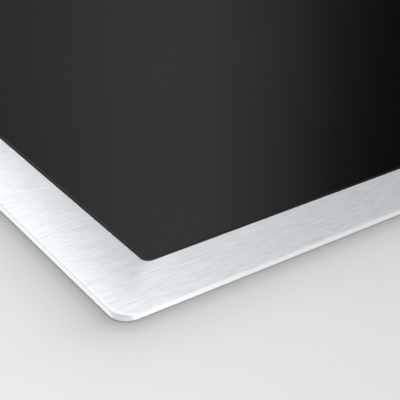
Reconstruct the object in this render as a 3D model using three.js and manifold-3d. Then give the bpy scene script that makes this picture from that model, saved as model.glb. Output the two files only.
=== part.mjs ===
// Built-in electric induction cooktop with a pressed stainless trim frame.
//
// Millimetres, +Z up. The origin is the centre of the underside of the casing, +X is the cook's
// right and +Y is the back. The cooktop hangs in a worktop cut-out by its trim frame, so most of
// its height is below the worktop's surface at WORKTOP_Z.
//
// From the top down: trim frame with the glass bonded into it, then the windings on two sprung
// plates, then the electronics, the blower and the mains terminals in a folded steel casing. Four
// clamps beside the casing swing out under the worktop and are drawn up against it by their screws.

import * as THREE from 'three';
import { mergeVertices } from 'three/addons/utils/BufferGeometryUtils.js';
import Module from 'manifold-3d';

const wasm = await Module();
wasm.setup();

// ---- Driving dimensions ------------------------------------------------------------------

const SEAT = 0.1; // gap left between two pieces that rest on each other
const CLEAR = 0.5; // gap beside a piece that moves or is dropped in
const ROUND_SIDES = 30; // facets round a large ring or disc

const WORKTOP_Z = 51; // worktop surface above the casing's underside

const FRAME_W = 576;
const FRAME_D = 516;
const BAND = 15; // visible width of the trim frame
const FRAME_SHEET = 0.6;
const RIM_Z = WORKTOP_Z + 0.35; // lower edge of the frame's rim
const RIM_H = 0.7;
const RIM_R = 0.6; // rounding of the rim
const CROWN_RISE = 0.2; // dome of the band above the chord from its rim to its inner lip
const LIP_STEP = 0.15; // inner lip above the glass
const LIP_R = 0.3;
const OUTER_CORNER_R = 3.9;
const INNER_CORNER_R = 1.9;
const LEDGE_W = 9; // ledge that carries the glass

const GLASS_T = 4;
const GLASS_CORNER_R = 1.5;
const GLASS_TOP = WORKTOP_Z + 0.3;
const GLASS_BOTTOM = GLASS_TOP - GLASS_T;
const BOND_T = 0.8;
const LEDGE_TOP = GLASS_BOTTOM - BOND_T - 2 * SEAT;
const LEDGE_BOTTOM = LEDGE_TOP - FRAME_SHEET;

const SEAL_IN = 1.2; // worktop seal, from the frame's outer edge
const SEAL_OUT = 6.5;

const TRAY_W = 530;
const TRAY_D = 470;
const TRAY_SHEET = 0.7;
const TRAY_CORNER_R = 5;
const FLANGE_W = 7;
const FLANGE_TOP = LEDGE_BOTTOM - SEAT;
const FLOOR_Z = TRAY_SHEET; // inside floor of the casing
const TRAY_X = TRAY_W / 2;
const TRAY_Y = TRAY_D / 2;

const VENT_W = 3.4; // ventilation slots stay too narrow for a finger
const VENT_PITCH = 8;
const VENT_BOTTOM = 10;
const VENT_TOP = 34;
const FRONT_VENTS = [{ x: -110, count: 14 }, { x: 110, count: 14 }];
const REAR_VENTS = [{ x: 150, count: 12 }];
const FLOOR_VENT_COUNT = 7;

const PLATE_T = 1.5; // aluminium plate under the windings
const MICA_T = 0.5;
const MICA_TOP = GLASS_BOTTOM - SEAT;
const WINDING_T = 3.2;
const WINDING_TOP = MICA_TOP - MICA_T - SEAT;
const FORMER_T = 2.4;
const FORMER_TOP = WINDING_TOP - WINDING_T - SEAT;
const PLATE_TOP = FORMER_TOP - FORMER_T - SEAT;
const PLATE_BOTTOM = PLATE_TOP - PLATE_T;
const PLATE = { inner: 4, outer: 250, front: -165, back: 228 };

// One cooking zone each: centre, outer radius of its winding, and the side that it sits on.
const ZONES = [
  { name: 'front_left', side: 'left', x: -138, y: -66, radius: 95 },
  { name: 'rear_left', side: 'left', x: -138, y: 126, radius: 80 },
  { name: 'front_right', side: 'right', x: 138, y: -88, radius: 64 },
  { name: 'rear_right', side: 'right', x: 138, y: 106, radius: 95 },
];
const WINDING_BORE_R = 21;
const FORMER_MARGIN = 4;
const SENSOR_R = 6;

const CARRIER_T = 2; // moulded tray inserts that hold the boards and the spring posts
const CARRIER_Z = FLOOR_Z + SEAT;
const POST_R = 7;
const POST_TOP = 20;
const POST_PIN_R = 3;
const POST_PIN_TOP = 27;
const SPRING_R = 5;
const SPRING_WIRE_R = 0.7;
const SPRING_TURNS = 3.5;
const POSTS = [
  { name: 'front', x: 150, y: -158 },
  { name: 'outer', x: 243, y: 130 },
  { name: 'inner', x: 90, y: 150 },
];

const BOARD_Z = 9;
const BOARD_T = 1.6;
const POWER_BOARD = { inner: 10, outer: 228, front: -148, back: 84 };
const SINK = { inner: 14, outer: 62, front: -140, back: 78, top: 33.5, base: 4, fins: 8, fin: 1.8 };

const FAN_Y = 150;
const FAN_BASE_Z = FLOOR_Z + SEAT;
const FAN_TOP_Z = 34;
const FAN_WALL = 1.8;
const FAN_R = 42; // impeller
const FAN_BLADES = 20;
const FAN_INLET_R = 31;
const FAN_MOTOR_R = 17;
const FAN_SHAFT_R = 1.5;
const FAN_DISC_TOP = 27;
const FAN_COVER_Z = FAN_TOP_Z - 1.6;
const FAN_MOUTH_Y = 90;
const FAN_OUTLET_X = 52;
const VOLUTE_START_R = 46;
const VOLUTE_END_R = 58;

const TOUCH = { left: -100, right: 218, front: -226, back: -182 };
const TOUCH_BOARD_TOP = GLASS_BOTTOM - 0.4;

// Mains connection, at the left end of the rear wall.
const TERMINAL = { left: -232, right: -126, front: 178, top: 35, wall: 2 };
const WINDOW = { left: -204, right: -130, bottom: 5, top: 33 };
const INLET = { x: -219.5, z: 20, holeR: 8, boreR: 5.6, flangeR: 9.5 };
const COVER_AXIS = { y: TRAY_Y + 2.6, z: 7.6 };
const COVER_T = 2;
const COVER_PIN_R = 1.1;
const EAR_T = 2;
const EAR_R = 2.4;
const COVER_EARS = [WINDOW.left + 0.5, WINDOW.right - 0.5 - EAR_T];
const TERMINAL_POLES = 6;
const SADDLE_Y = 206;
const PILLAR_X = 7.9;
const CLAMP_BAR_Z = INLET.z + 5.4;

// Worktop clamps, two on each side of the casing.
const CLAMP_X = 272.5;
const CLAMP_Y = 150;
const CLAMP_ARM_W = 13;
const CLAMP_ARM_L = 42;
const CLAMP_ARM_T = 2;
const CLAMP_GRIP = 3; // upturned grip at the arm's end
const CLAMPS = [
  { name: 'front_left', sx: -1, sy: -1 },
  { name: 'front_right', sx: 1, sy: -1 },
  { name: 'rear_left', sx: -1, sy: 1 },
  { name: 'rear_right', sx: 1, sy: 1 },
];
const LUG = { bottom: 27.5, top: 29.5, w: 16, reach: 279 };
const CLAMP_SCREW = { r: 2, headR: 3.8, headBottom: 2.2, headTop: 5.2, top: 29.9 };
const WASHER = { r: 5, bottom: 5.3, top: 6.3 };
const ARM_BOTTOM = WASHER.top + SEAT;

// ---- Geometry helpers ----------------------------------------------------------------------

// Signed volume of a closed indexed geometry: negative when its faces point inwards.
function signedVolume(geometry) {
  const points = geometry.attributes.position;
  const index = geometry.index;
  const [a, b, c] = [new THREE.Vector3(), new THREE.Vector3(), new THREE.Vector3()];
  let volume = 0;
  for (let i = 0; i < index.count; i += 3) {
    a.fromBufferAttribute(points, index.getX(i));
    b.fromBufferAttribute(points, index.getX(i + 1));
    c.fromBufferAttribute(points, index.getX(i + 2));
    volume += a.dot(b.cross(c)) / 6;
  }
  return volume;
}

// A closed geometry as a manifold solid with its faces pointing out.
function solid(geometry) {
  const bare = geometry.clone();
  bare.deleteAttribute('normal');
  bare.deleteAttribute('uv');
  const merged = mergeVertices(bare, 1e-4);
  const triVerts = Uint32Array.from(merged.index.array);
  if (signedVolume(merged) < 0) {
    for (let i = 0; i < triVerts.length; i += 3) {
      [triVerts[i], triVerts[i + 1]] = [triVerts[i + 1], triVerts[i]];
    }
  }
  const vertProperties = Float32Array.from(merged.attributes.position.array);
  return new wasm.Manifold(new wasm.Mesh({ numProp: 3, vertProperties, triVerts }));
}

// The mesh of a manifold solid, named and coloured, as one sub-part.
function part(name, body, material) {
  const { vertProperties, triVerts } = body.getMesh();
  const geometry = new THREE.BufferGeometry();
  geometry.setAttribute('position', new THREE.BufferAttribute(vertProperties, 3));
  geometry.setIndex(new THREE.BufferAttribute(triVerts, 1));
  geometry.computeVertexNormals();
  const mesh = new THREE.Mesh(geometry, material.clone());
  mesh.name = name;
  return mesh;
}

const join = (first, ...others) => others.reduce((body, other) => body.add(other), first);
const cut = (first, ...others) => others.reduce((body, other) => body.subtract(other), first);

// A box between two corners.
function box(x0, x1, y0, y1, z0, z1) {
  const geometry = new THREE.BoxGeometry(x1 - x0, y1 - y0, z1 - z0);
  return solid(geometry.translate((x0 + x1) / 2, (y0 + y1) / 2, (z0 + z1) / 2));
}

// A flat outline raised from one height to another.
function prism(shape, bottom, top, segments = 5) {
  const options = { depth: top - bottom, bevelEnabled: false, curveSegments: segments };
  return solid(new THREE.ExtrudeGeometry(shape, options).translate(0, 0, bottom));
}

// An upright cylinder.
function rod(x, y, radius, bottom, top, sides = 16) {
  const geometry = new THREE.CylinderGeometry(radius, radius, top - bottom, sides);
  return solid(geometry.rotateX(Math.PI / 2).translate(x, y, (bottom + top) / 2));
}

// A closed [radius, height] profile turned about the Z axis.
function turned(profile, sides) {
  const points = profile.map(([radius, height]) => new THREE.Vector2(radius, height));
  return solid(new THREE.LatheGeometry(points, sides).rotateX(Math.PI / 2));
}

// A flat ring.
function ring(inner, outer, bottom, top, sides = ROUND_SIDES) {
  return turned([[inner, bottom], [outer, bottom], [outer, top], [inner, top], [inner, bottom]], sides);
}

function roundedRectangle(width, depth, radius) {
  const [x, y] = [width / 2, depth / 2];
  const shape = new THREE.Shape();
  shape.absarc(x - radius, y - radius, radius, 0, Math.PI / 2);
  shape.absarc(radius - x, y - radius, radius, Math.PI / 2, Math.PI);
  shape.absarc(radius - x, radius - y, radius, Math.PI, Math.PI * 1.5);
  shape.absarc(x - radius, radius - y, radius, Math.PI * 1.5, Math.PI * 2);
  return shape;
}

function polygon(points) {
  return new THREE.Shape(points.map(([x, y]) => new THREE.Vector2(x, y)));
}

// Points on an arc, from one angle to another, in degrees.
function arc(cx, cy, radius, from, to, steps) {
  return Array.from({ length: steps + 1 }, (_, i) => {
    const angle = THREE.MathUtils.degToRad(from + ((to - from) * i) / steps);
    return [cx + radius * Math.cos(angle), cy + radius * Math.sin(angle)];
  });
}

// Carries a closed profile of [inset, height] points round a rectangle with rounded corners.
function framed(width, depth, profile, cornerRadius, steps = 5) {
  const positions = [];
  for (const [inset, height] of profile) {
    const [x, y, radius] = [width / 2 - inset, depth / 2 - inset, cornerRadius(inset)];
    const corners = [[1, 1], [-1, 1], [-1, -1], [1, -1]];
    corners.forEach(([sx, sy], corner) => {
      const centre = [sx * (x - radius), sy * (y - radius)];
      const start = corner * 90;
      for (const [px, py] of arc(centre[0], centre[1], radius, start, start + 90, steps)) {
        positions.push(px, py, height);
      }
    });
  }
  const across = 4 * (steps + 1);
  const index = [];
  for (let i = 0; i < profile.length; i += 1) {
    for (let j = 0; j < across; j += 1) {
      const [here, next] = [i * across, ((i + 1) % profile.length) * across];
      const beside = (j + 1) % across;
      index.push(here + j, here + beside, next + beside, here + j, next + beside, next + j);
    }
  }
  const geometry = new THREE.BufferGeometry();
  geometry.setAttribute('position', new THREE.Float32BufferAttribute(positions, 3));
  geometry.setIndex(index);
  return solid(geometry);
}

// ---- Materials -----------------------------------------------------------------------------

const metal = (color, roughness) =>
  new THREE.MeshStandardMaterial({ color, roughness, metalness: 1 });
const plain = (color, roughness) =>
  new THREE.MeshStandardMaterial({ color, roughness, metalness: 0 });

const STAINLESS = metal(0xd5d8da, 0.32);
const GALVANISED = metal(0xb4b8ba, 0.45);
const ALUMINIUM = metal(0xc9ccce, 0.4);
const ZINC_PLATED = metal(0xa9adb0, 0.35);
const SPRING_STEEL = metal(0x8d9194, 0.3);
const COPPER = metal(0xb06a3c, 0.4);
const BLACK_GLASS = plain(0x0b0c0c, 0.06);
const BLACK_SILICONE = plain(0x141414, 0.6);
const GREY_FOAM = plain(0x4a4b4c, 0.9);
const BLACK_PLASTIC = plain(0x1c1d1e, 0.5);
const WHITE_PLASTIC = plain(0xd9d8d2, 0.5);
const MICA = plain(0x9c8a63, 0.55);
const FERRITE_GREY = plain(0x3c3d3f, 0.6);
const BOARD_GREEN = plain(0x1f5a35, 0.5);

// ---- Trim frame and glass --------------------------------------------------------------------

// Height of the band's upper surface: up from the rim, over the crown and down to the inner lip.
const RIM_TOP = RIM_Z + RIM_H;
const LIP_TOP = GLASS_TOP + LIP_STEP;
function bandHeight(inset) {
  const along = THREE.MathUtils.clamp((inset - RIM_R) / (BAND - RIM_R), 0, 1);
  const chord = THREE.MathUtils.lerp(RIM_TOP, LIP_TOP, along);
  return chord + CROWN_RISE * 4 * along * (1 - along);
}

const cornerRadius = (inset) =>
  THREE.MathUtils.lerp(OUTER_CORNER_R, INNER_CORNER_R, Math.min(inset / BAND, 1));

// One pressed sheet: rounded rim, domed band, fold down beside the glass, ledge under it.
function trimFrame() {
  const steps = 6;
  const drawIn = 0.1; // the underside keeps a little inside the upper surface
  const domeEnd = BAND - LIP_R;
  const insets = Array.from({ length: steps }, (_, i) => RIM_R + ((domeEnd - RIM_R) * i) / (steps - 1));
  const upper = insets.map((inset) => [inset, bandHeight(inset)]);
  const lower = insets.slice(1).map((inset) => [inset - drawIn, bandHeight(inset) - FRAME_SHEET]);
  lower[lower.length - 1][0] = BAND - FRAME_SHEET;
  const lipZ = bandHeight(domeEnd) - LIP_R;
  const profile = [
    [FRAME_SHEET, RIM_Z],
    [0, RIM_Z],
    ...arc(RIM_R, bandHeight(RIM_R) - RIM_R, RIM_R, 180, 120, 2),
    ...upper,
    ...arc(domeEnd, lipZ, LIP_R, 60, 0, 2),
    [BAND, LEDGE_TOP],
    [BAND + LEDGE_W, LEDGE_TOP],
    [BAND + LEDGE_W, LEDGE_BOTTOM],
    [BAND - FRAME_SHEET, LEDGE_BOTTOM],
    ...lower.reverse(),
  ];
  return part('trim_frame', framed(FRAME_W, FRAME_D, profile, cornerRadius), STAINLESS);
}

function glassPanel() {
  const inset = BAND + CLEAR;
  const bevel = 0.2;
  const [w, d] = [FRAME_W - 2 * inset, FRAME_D - 2 * inset];
  const slab = prism(roundedRectangle(w, d, GLASS_CORNER_R), GLASS_BOTTOM, GLASS_TOP - bevel);
  const faceR = GLASS_CORNER_R - bevel;
  const face = prism(roundedRectangle(w - 2 * bevel, d - 2 * bevel, faceR), GLASS_TOP - 1, GLASS_TOP);
  return part('glass_panel', join(slab, face), BLACK_GLASS);
}

// Silicone: a flat bed on the ledge and a bead up the gap round the glass.
function glassBond() {
  const [bed, bead] = [GLASS_BOTTOM - SEAT, GLASS_TOP - 0.1];
  const profile = [
    [BAND + 0.05, LEDGE_TOP + SEAT],
    [BAND + LEDGE_W - 1, LEDGE_TOP + SEAT],
    [BAND + LEDGE_W - 1, bed],
    [BAND + CLEAR - 0.05, bed],
    [BAND + CLEAR - 0.05, bead],
    [BAND + 0.05, bead],
  ];
  const radius = (inset) => (inset < BAND + SEAT ? INNER_CORNER_R : GLASS_CORNER_R);
  return part('glass_bond', framed(FRAME_W, FRAME_D, profile, radius), BLACK_SILICONE);
}

// Foam strip between the frame and the worktop.
function worktopSeal() {
  const under = (inset) => bandHeight(inset) - FRAME_SHEET - SEAT;
  const profile = [
    [SEAL_IN, WORKTOP_Z],
    [SEAL_OUT, WORKTOP_Z],
    [SEAL_OUT, under(SEAL_OUT) - 0.1],
    [SEAL_IN, under(SEAL_IN) - 0.15],
  ];
  return part('worktop_seal', framed(FRAME_W, FRAME_D, profile, () => 3, 3), GREY_FOAM);
}

// ---- Casing ----------------------------------------------------------------------------------

// A row of upright slots through the wall at y, centred on x.
function wallSlots(y, { x, count }) {
  return Array.from({ length: count }, (_, i) => {
    const left = x + (i - (count - 1) / 2) * VENT_PITCH - VENT_W / 2;
    return box(left, left + VENT_W, y - 3, y + 3, VENT_BOTTOM, VENT_TOP);
  });
}

// Slots through the floor inside a circle under the blower's inlet.
function floorSlots() {
  return Array.from({ length: FLOOR_VENT_COUNT }, (_, i) => {
    const x = (i - (FLOOR_VENT_COUNT - 1) / 2) * VENT_PITCH;
    const half = Math.sqrt(FAN_INLET_R ** 2 - x ** 2) - 2;
    return box(x - VENT_W / 2, x + VENT_W / 2, FAN_Y - half, FAN_Y + half, -1, FLOOR_Z + 1);
  });
}

// A lug folded out of the side wall, with the clamp screw's hole through it.
function clampLug({ sx, sy }) {
  const [near, far] = [TRAY_X - 0.3, LUG.reach];
  const [x0, x1] = sx > 0 ? [near, far] : [-far, -near];
  const y = sy * CLAMP_Y;
  const plate = box(x0, x1, y - LUG.w / 2, y + LUG.w / 2, LUG.bottom, LUG.top);
  return cut(plate, rod(sx * CLAMP_X, y, CLAMP_SCREW.r + 0.4, LUG.bottom - 1, LUG.top + 1));
}

function casingTray() {
  const outer = prism(roundedRectangle(TRAY_W, TRAY_D, TRAY_CORNER_R), 0, FLANGE_TOP, 4);
  const inside = roundedRectangle(TRAY_W - 2 * TRAY_SHEET, TRAY_D - 2 * TRAY_SHEET, TRAY_CORNER_R);
  const flange = roundedRectangle(TRAY_W + 2 * FLANGE_W, TRAY_D + 2 * FLANGE_W, TRAY_CORNER_R);
  const flangeBottom = FLANGE_TOP - TRAY_SHEET;
  const shell = join(outer, prism(flange, flangeBottom, FLANGE_TOP, 4));
  const hollow = prism(inside, FLOOR_Z, FLANGE_TOP + 1, 4);
  const window = box(WINDOW.left, WINDOW.right, TRAY_Y - 3, TRAY_Y + 3, WINDOW.bottom, WINDOW.top);
  const inlet = solid(new THREE.CylinderGeometry(INLET.holeR, INLET.holeR, 6, 24)
    .translate(INLET.x, TRAY_Y, INLET.z));
  const slots = [
    ...FRONT_VENTS.flatMap((row) => wallSlots(-TRAY_Y, row)),
    ...REAR_VENTS.flatMap((row) => wallSlots(TRAY_Y, row)),
    ...floorSlots(),
  ];
  const sheet = join(cut(shell, hollow), ...CLAMPS.map(clampLug));
  return part('casing_tray', cut(sheet, window, inlet, ...slots), GALVANISED);
}

// ---- Windings on their sprung plates ----------------------------------------------------------

// Everything on the left side mirrors to the right one.
const SIDES = [['left', -1], ['right', 1]];

function sided(sign, inner, outer, front, back, bottom, top) {
  const [x0, x1] = sign > 0 ? [inner, outer] : [-outer, -inner];
  return box(x0, x1, front, back, bottom, top);
}

// Aluminium plate, pierced under each zone's sensor.
function coilPlate(side, sign) {
  const plate = sided(sign, PLATE.inner, PLATE.outer, PLATE.front, PLATE.back, PLATE_BOTTOM, PLATE_TOP);
  const holes = ZONES.filter((zone) => zone.side === side)
    .map(({ x, y }) => rod(x, y, SENSOR_R + 4, PLATE_BOTTOM - 1, PLATE_TOP + 1, 24));
  return part(`coil_plate_${side}`, cut(plate, ...holes), ALUMINIUM);
}

// Moulded former: a disc with radial channels for the ferrite bars below it.
function coilFormer({ name, x, y, radius }) {
  const bottom = PLATE_TOP + SEAT;
  const disc = ring(SENSOR_R + 1, radius + FORMER_MARGIN, bottom, FORMER_TOP);
  const channels = Array.from({ length: 8 }, (_, i) => {
    const bar = new THREE.BoxGeometry(radius - WINDING_BORE_R - 6, 9, 2.8);
    const turn = (i * Math.PI) / 4 + Math.PI / 8;
    return solid(bar.translate((radius + WINDING_BORE_R) / 2, 0, bottom).rotateZ(turn));
  });
  return part(`coil_former_${name}`, cut(disc, ...channels).translate([x, y, 0]), FERRITE_GREY);
}

// Flat pancake of litz wire.
function coilWinding({ name, x, y, radius }) {
  const body = ring(WINDING_BORE_R, radius, WINDING_TOP - WINDING_T, WINDING_TOP);
  return part(`coil_winding_${name}`, body.translate([x, y, 0]), COPPER);
}

function micaDisc({ name, x, y, radius }) {
  const body = ring(SENSOR_R + 1, radius + 2, MICA_TOP - MICA_T, MICA_TOP);
  return part(`mica_disc_${name}`, body.translate([x, y, 0]), MICA);
}

// Button that holds the temperature probe against the glass, on a stem through the former.
function tempSensor({ name, x, y }) {
  const profile = [[0, PLATE_BOTTOM + 0.2], [4, PLATE_BOTTOM + 0.2], [4, FORMER_TOP],
    [SENSOR_R, FORMER_TOP + 1.5], [SENSOR_R, MICA_TOP], [0, MICA_TOP]];
  return part(`temp_sensor_${name}`, turned(profile, 20).translate([x, y, 0]), WHITE_PLASTIC);
}

// Helix with its two ends level, standing between a post and the plate.
class Helix extends THREE.Curve {
  getPoint(t, target = new THREE.Vector3()) {
    const angle = t * SPRING_TURNS * 2 * Math.PI;
    const bottom = POST_TOP + SEAT + SPRING_WIRE_R;
    const top = PLATE_BOTTOM - SEAT - SPRING_WIRE_R;
    const rise = THREE.MathUtils.lerp(bottom, top, t);
    return target.set(SPRING_R * Math.cos(angle), SPRING_R * Math.sin(angle), rise);
  }
}

function plateSpring(side, sign, { name, x, y }) {
  const wire = polygon(arc(0, 0, SPRING_WIRE_R, 0, 288, 4));
  const options = { steps: SPRING_TURNS * 10, extrudePath: new Helix() };
  const body = solid(new THREE.ExtrudeGeometry(wire, options));
  return part(`plate_spring_${side}_${name}`, body.translate([sign * x, y, 0]), SPRING_STEEL);
}

// ---- Electronics -------------------------------------------------------------------------------

// Moulded insert: a floor plate with standoffs under the board and a post for each spring.
function boardCarrier(side, sign) {
  const top = CARRIER_Z + CARRIER_T;
  const backReach = side === 'left' ? 170 : 226;
  const front = sided(sign, 6, 254, PLATE.front - 3, 88, CARRIER_Z, top);
  const back = sided(sign, 66, 254, 87, backReach, CARRIER_Z, top);
  const standoffs = [[24, -138], [214, -138], [24, 74], [214, 74]]
    .map(([x, y]) => rod(sign * x, y, 4, top - 0.5, BOARD_Z - SEAT, 12));
  const posts = POSTS.flatMap(({ x, y }) => [
    rod(sign * x, y, POST_R, top - 0.5, POST_TOP, 16),
    rod(sign * x, y, POST_PIN_R, POST_TOP - 0.5, POST_PIN_TOP, 12),
  ]);
  return part(`board_carrier_${side}`, join(front, back, ...standoffs, ...posts), BLACK_PLASTIC);
}

// Circuit board with its capacitors, relays and choke moulded on as blocks.
function powerBoard(side, sign) {
  const { inner, outer, front, back } = POWER_BOARD;
  const top = BOARD_Z + BOARD_T;
  const board = sided(sign, inner, outer, front, back, BOARD_Z, top);
  const capacitors = [-110, -60, -10].map((y) => sided(sign, 150, 182, y, y + 24, top - 0.5, 27));
  const relays = [-100, -50].map((y) => sided(sign, 198, 218, y, y + 28, top - 0.5, 25));
  const choke = rod(sign * 110, 45, 18, top - 0.5, 30, 20);
  const chips = [-120, -70, -20].map((y) => sided(sign, 76, 98, y, y + 22, top - 0.5, 14));
  return part(`power_board_${side}`, join(board, ...capacitors, ...relays, choke, ...chips), BOARD_GREEN);
}

// Extruded heat sink: a base with upright fins along the air's path.
function heatSink(side, sign) {
  const bottom = BOARD_Z + BOARD_T + SEAT;
  const base = sided(sign, SINK.inner, SINK.outer, SINK.front, SINK.back, bottom, bottom + SINK.base);
  const pitch = (SINK.outer - SINK.inner - SINK.fin) / (SINK.fins - 1);
  const fins = Array.from({ length: SINK.fins }, (_, i) => {
    const x = SINK.inner + i * pitch;
    return sided(sign, x, x + SINK.fin, SINK.front, SINK.back, bottom + SINK.base - 0.5, SINK.top);
  });
  return part(`heat_sink_${side}`, join(base, ...fins), ALUMINIUM);
}

// Mains filter: line chokes and capacitors on their own board at the back right.
function filterBoard() {
  const top = BOARD_Z + BOARD_T;
  const board = box(104, 226, 100, 222, BOARD_Z, top);
  const feet = [[112, 108], [218, 108], [112, 214], [218, 214]]
    .map(([x, y]) => rod(x, y, 3.5, CARRIER_Z + CARRIER_T + SEAT, BOARD_Z + 0.5, 10));
  const chokes = [135, 180].map((y) => rod(140, y, 15, top - 0.5, 28, 20));
  const blocks = [115, 150, 185].map((y) => box(172, 206, y, y + 18, top - 0.5, 26));
  return part('filter_board', join(board, ...feet, ...chokes, ...blocks), BOARD_GREEN);
}

// Capacitive keypad board held up against the glass at the front.
function touchBoard() {
  const body = box(TOUCH.left, TOUCH.right, TOUCH.front, TOUCH.back, TOUCH_BOARD_TOP - BOARD_T,
    TOUCH_BOARD_TOP);
  return part('touch_board', body, BOARD_GREEN);
}

function touchCarrier() {
  const wall = 1.8;
  const top = TOUCH_BOARD_TOP - BOARD_T - SEAT;
  const floor = top - 7;
  const [x0, x1, y0, y1] = [TOUCH.left - wall, TOUCH.right + wall, TOUCH.front - wall, TOUCH.back + wall];
  const tray = box(x0, x1, y0, y1, floor, top);
  const hollow = box(x0 + 4, x1 - 4, y0 + 4, y1 - 4, floor + wall, top + 1);
  const legs = [x0 + 20, (x0 + x1) / 2, x1 - 20]
    .map((x) => box(x - 5, x + 5, y0 + 12, y1 - 12, FLOOR_Z + SEAT, floor + 0.5));
  return part('touch_carrier', join(cut(tray, hollow), ...legs), BLACK_PLASTIC);
}

// Flat cable from the keypad's carrier down to the right power board.
function ribbonCable() {
  const t = 1;
  const [top, bottom] = [38, BOARD_Z + BOARD_T + 0.3];
  const [yTop, yBottom] = [TOUCH.back + 2.3, POWER_BOARD.front + 12];
  const half = t / 2;
  const centre = [[yTop, top + 5], [yTop, top - 2], [yTop + 4, top - 9], [yBottom - 10, bottom + 9],
    [yBottom - 1, bottom + 5], [yBottom, bottom]];
  const left = centre.map(([y, z]) => [y - half, z]);
  const right = centre.map(([y, z]) => [y + half, z]).reverse();
  const options = { depth: 14, bevelEnabled: false };
  const band = new THREE.ExtrudeGeometry(polygon([...left, ...right]), options);
  // The outline is drawn in Y and Z, then stood up so that its depth runs along X.
  const upright = new THREE.Matrix4().makeBasis(
    new THREE.Vector3(0, 1, 0), new THREE.Vector3(0, 0, 1), new THREE.Vector3(1, 0, 0));
  return part('ribbon_cable', solid(band.applyMatrix4(upright).translate(104, 0, 0)), WHITE_PLASTIC);
}

// ---- Blower --------------------------------------------------------------------------------------

// Spiral outline that widens to a flared outlet at the front.
function voluteOutline(margin, mouth) {
  const steps = 20;
  const spiral = Array.from({ length: steps + 1 }, (_, i) => {
    const angle = THREE.MathUtils.degToRad(-60 + (240 * i) / steps);
    const radius = THREE.MathUtils.lerp(VOLUTE_START_R, VOLUTE_END_R, i / steps) + margin;
    return [radius * Math.cos(angle), FAN_Y + radius * Math.sin(angle)];
  });
  return polygon([...spiral, [-VOLUTE_END_R - margin, mouth], [FAN_OUTLET_X + margin, mouth]]);
}

// Scroll with its floor and inlet, open at the top for the impeller.
function blowerHousing() {
  const shell = prism(voluteOutline(FAN_WALL, FAN_MOUTH_Y), FAN_BASE_Z, FAN_COVER_Z - SEAT);
  const bottom = FAN_BASE_Z + FAN_WALL;
  const hollow = prism(voluteOutline(0, FAN_MOUTH_Y - 5), bottom, FAN_TOP_Z + 1);
  const inlet = rod(0, FAN_Y, FAN_INLET_R, FAN_BASE_Z - 1, bottom + 1, 36);
  return part('blower_housing', cut(shell, hollow, inlet), BLACK_PLASTIC);
}

function blowerCover() {
  const body = prism(voluteOutline(FAN_WALL, FAN_MOUTH_Y), FAN_COVER_Z, FAN_TOP_Z);
  return part('blower_cover', body, BLACK_PLASTIC);
}

// Flat motor hung under the cover, with a blind bearing bore from below.
function blowerMotor() {
  const [bottom, top] = [FAN_DISC_TOP + 0.7, FAN_COVER_Z - SEAT];
  const can = rod(0, FAN_Y, FAN_MOTOR_R, bottom, top, 28);
  const bore = rod(0, FAN_Y, FAN_SHAFT_R + 0.08, bottom - 1, top - 1, 24);
  return part('blower_motor', cut(can, bore), ZINC_PLATED);
}

// Impeller: back disc and shaft, with raked blades hanging from it to a ring at the inlet.
function blowerRotor() {
  const bladeIn = FAN_R - 8;
  const [low, high] = [FAN_BASE_Z + FAN_WALL + 1.4, FAN_DISC_TOP];
  const disc = rod(0, 0, FAN_R, high - 1.5, high, ROUND_SIDES);
  const shaft = rod(0, 0, FAN_SHAFT_R, high - 0.5, FAN_COVER_Z - 1.6, 24);
  const lowerRing = ring(bladeIn, FAN_R, low, low + 1.4);
  const blades = Array.from({ length: FAN_BLADES }, (_, i) => {
    const blade = new THREE.BoxGeometry(7.4, 1.2, high - low - 1.6);
    blade.rotateZ(THREE.MathUtils.degToRad(28));
    blade.translate(FAN_R - 4.2, 0, (high + low) / 2).rotateZ((i * 2 * Math.PI) / FAN_BLADES);
    return solid(blade);
  });
  const body = join(disc, shaft, lowerRing, ...blades);
  return part('blower_rotor', body.translate([0, FAN_Y, 0]), BLACK_PLASTIC);
}

// ---- Mains terminals ---------------------------------------------------------------------------

// A cylinder lying along X.
function lyingRod(x0, x1, y, z, radius, sides = 16) {
  const geometry = new THREE.CylinderGeometry(radius, radius, x1 - x0, sides);
  return solid(geometry.rotateZ(Math.PI / 2).translate((x0 + x1) / 2, y, z));
}

// Box open to the back behind the casing's window, with the cord's saddle and the cover's ears.
function terminalHousing() {
  const { left, right, front, top, wall } = TERMINAL;
  const back = TRAY_Y - TRAY_SHEET - SEAT;
  const floor = CARRIER_Z + wall;
  const shell = box(left, right, front, back, CARRIER_Z, top);
  const bay = box(left + wall, right - wall, front + wall, back + 1, floor, top - wall);
  const saddle = box(INLET.x - 10, INLET.x + 10, SADDLE_Y, SADDLE_Y + 8, floor - 0.5, INLET.z - 5.4);
  const pillars = [-PILLAR_X, PILLAR_X].map((x) =>
    rod(INLET.x + x, SADDLE_Y + 4, 2.2, INLET.z - 6, CLAMP_BAR_Z - SEAT, 12));
  const ears = COVER_EARS.map((x) => cut(
    join(
      box(x, x + EAR_T, back - 12, back, floor - 0.5, COVER_AXIS.z + EAR_R),
      box(x, x + EAR_T, back - 1, COVER_AXIS.y + EAR_R, COVER_AXIS.z - EAR_R, COVER_AXIS.z + EAR_R),
    ),
    lyingRod(x - 1, x + EAR_T + 1, COVER_AXIS.y, COVER_AXIS.z, COVER_PIN_R + 0.25),
  ));
  return part('terminal_housing', join(cut(shell, bay), saddle, ...pillars, ...ears), WHITE_PLASTIC);
}

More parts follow.
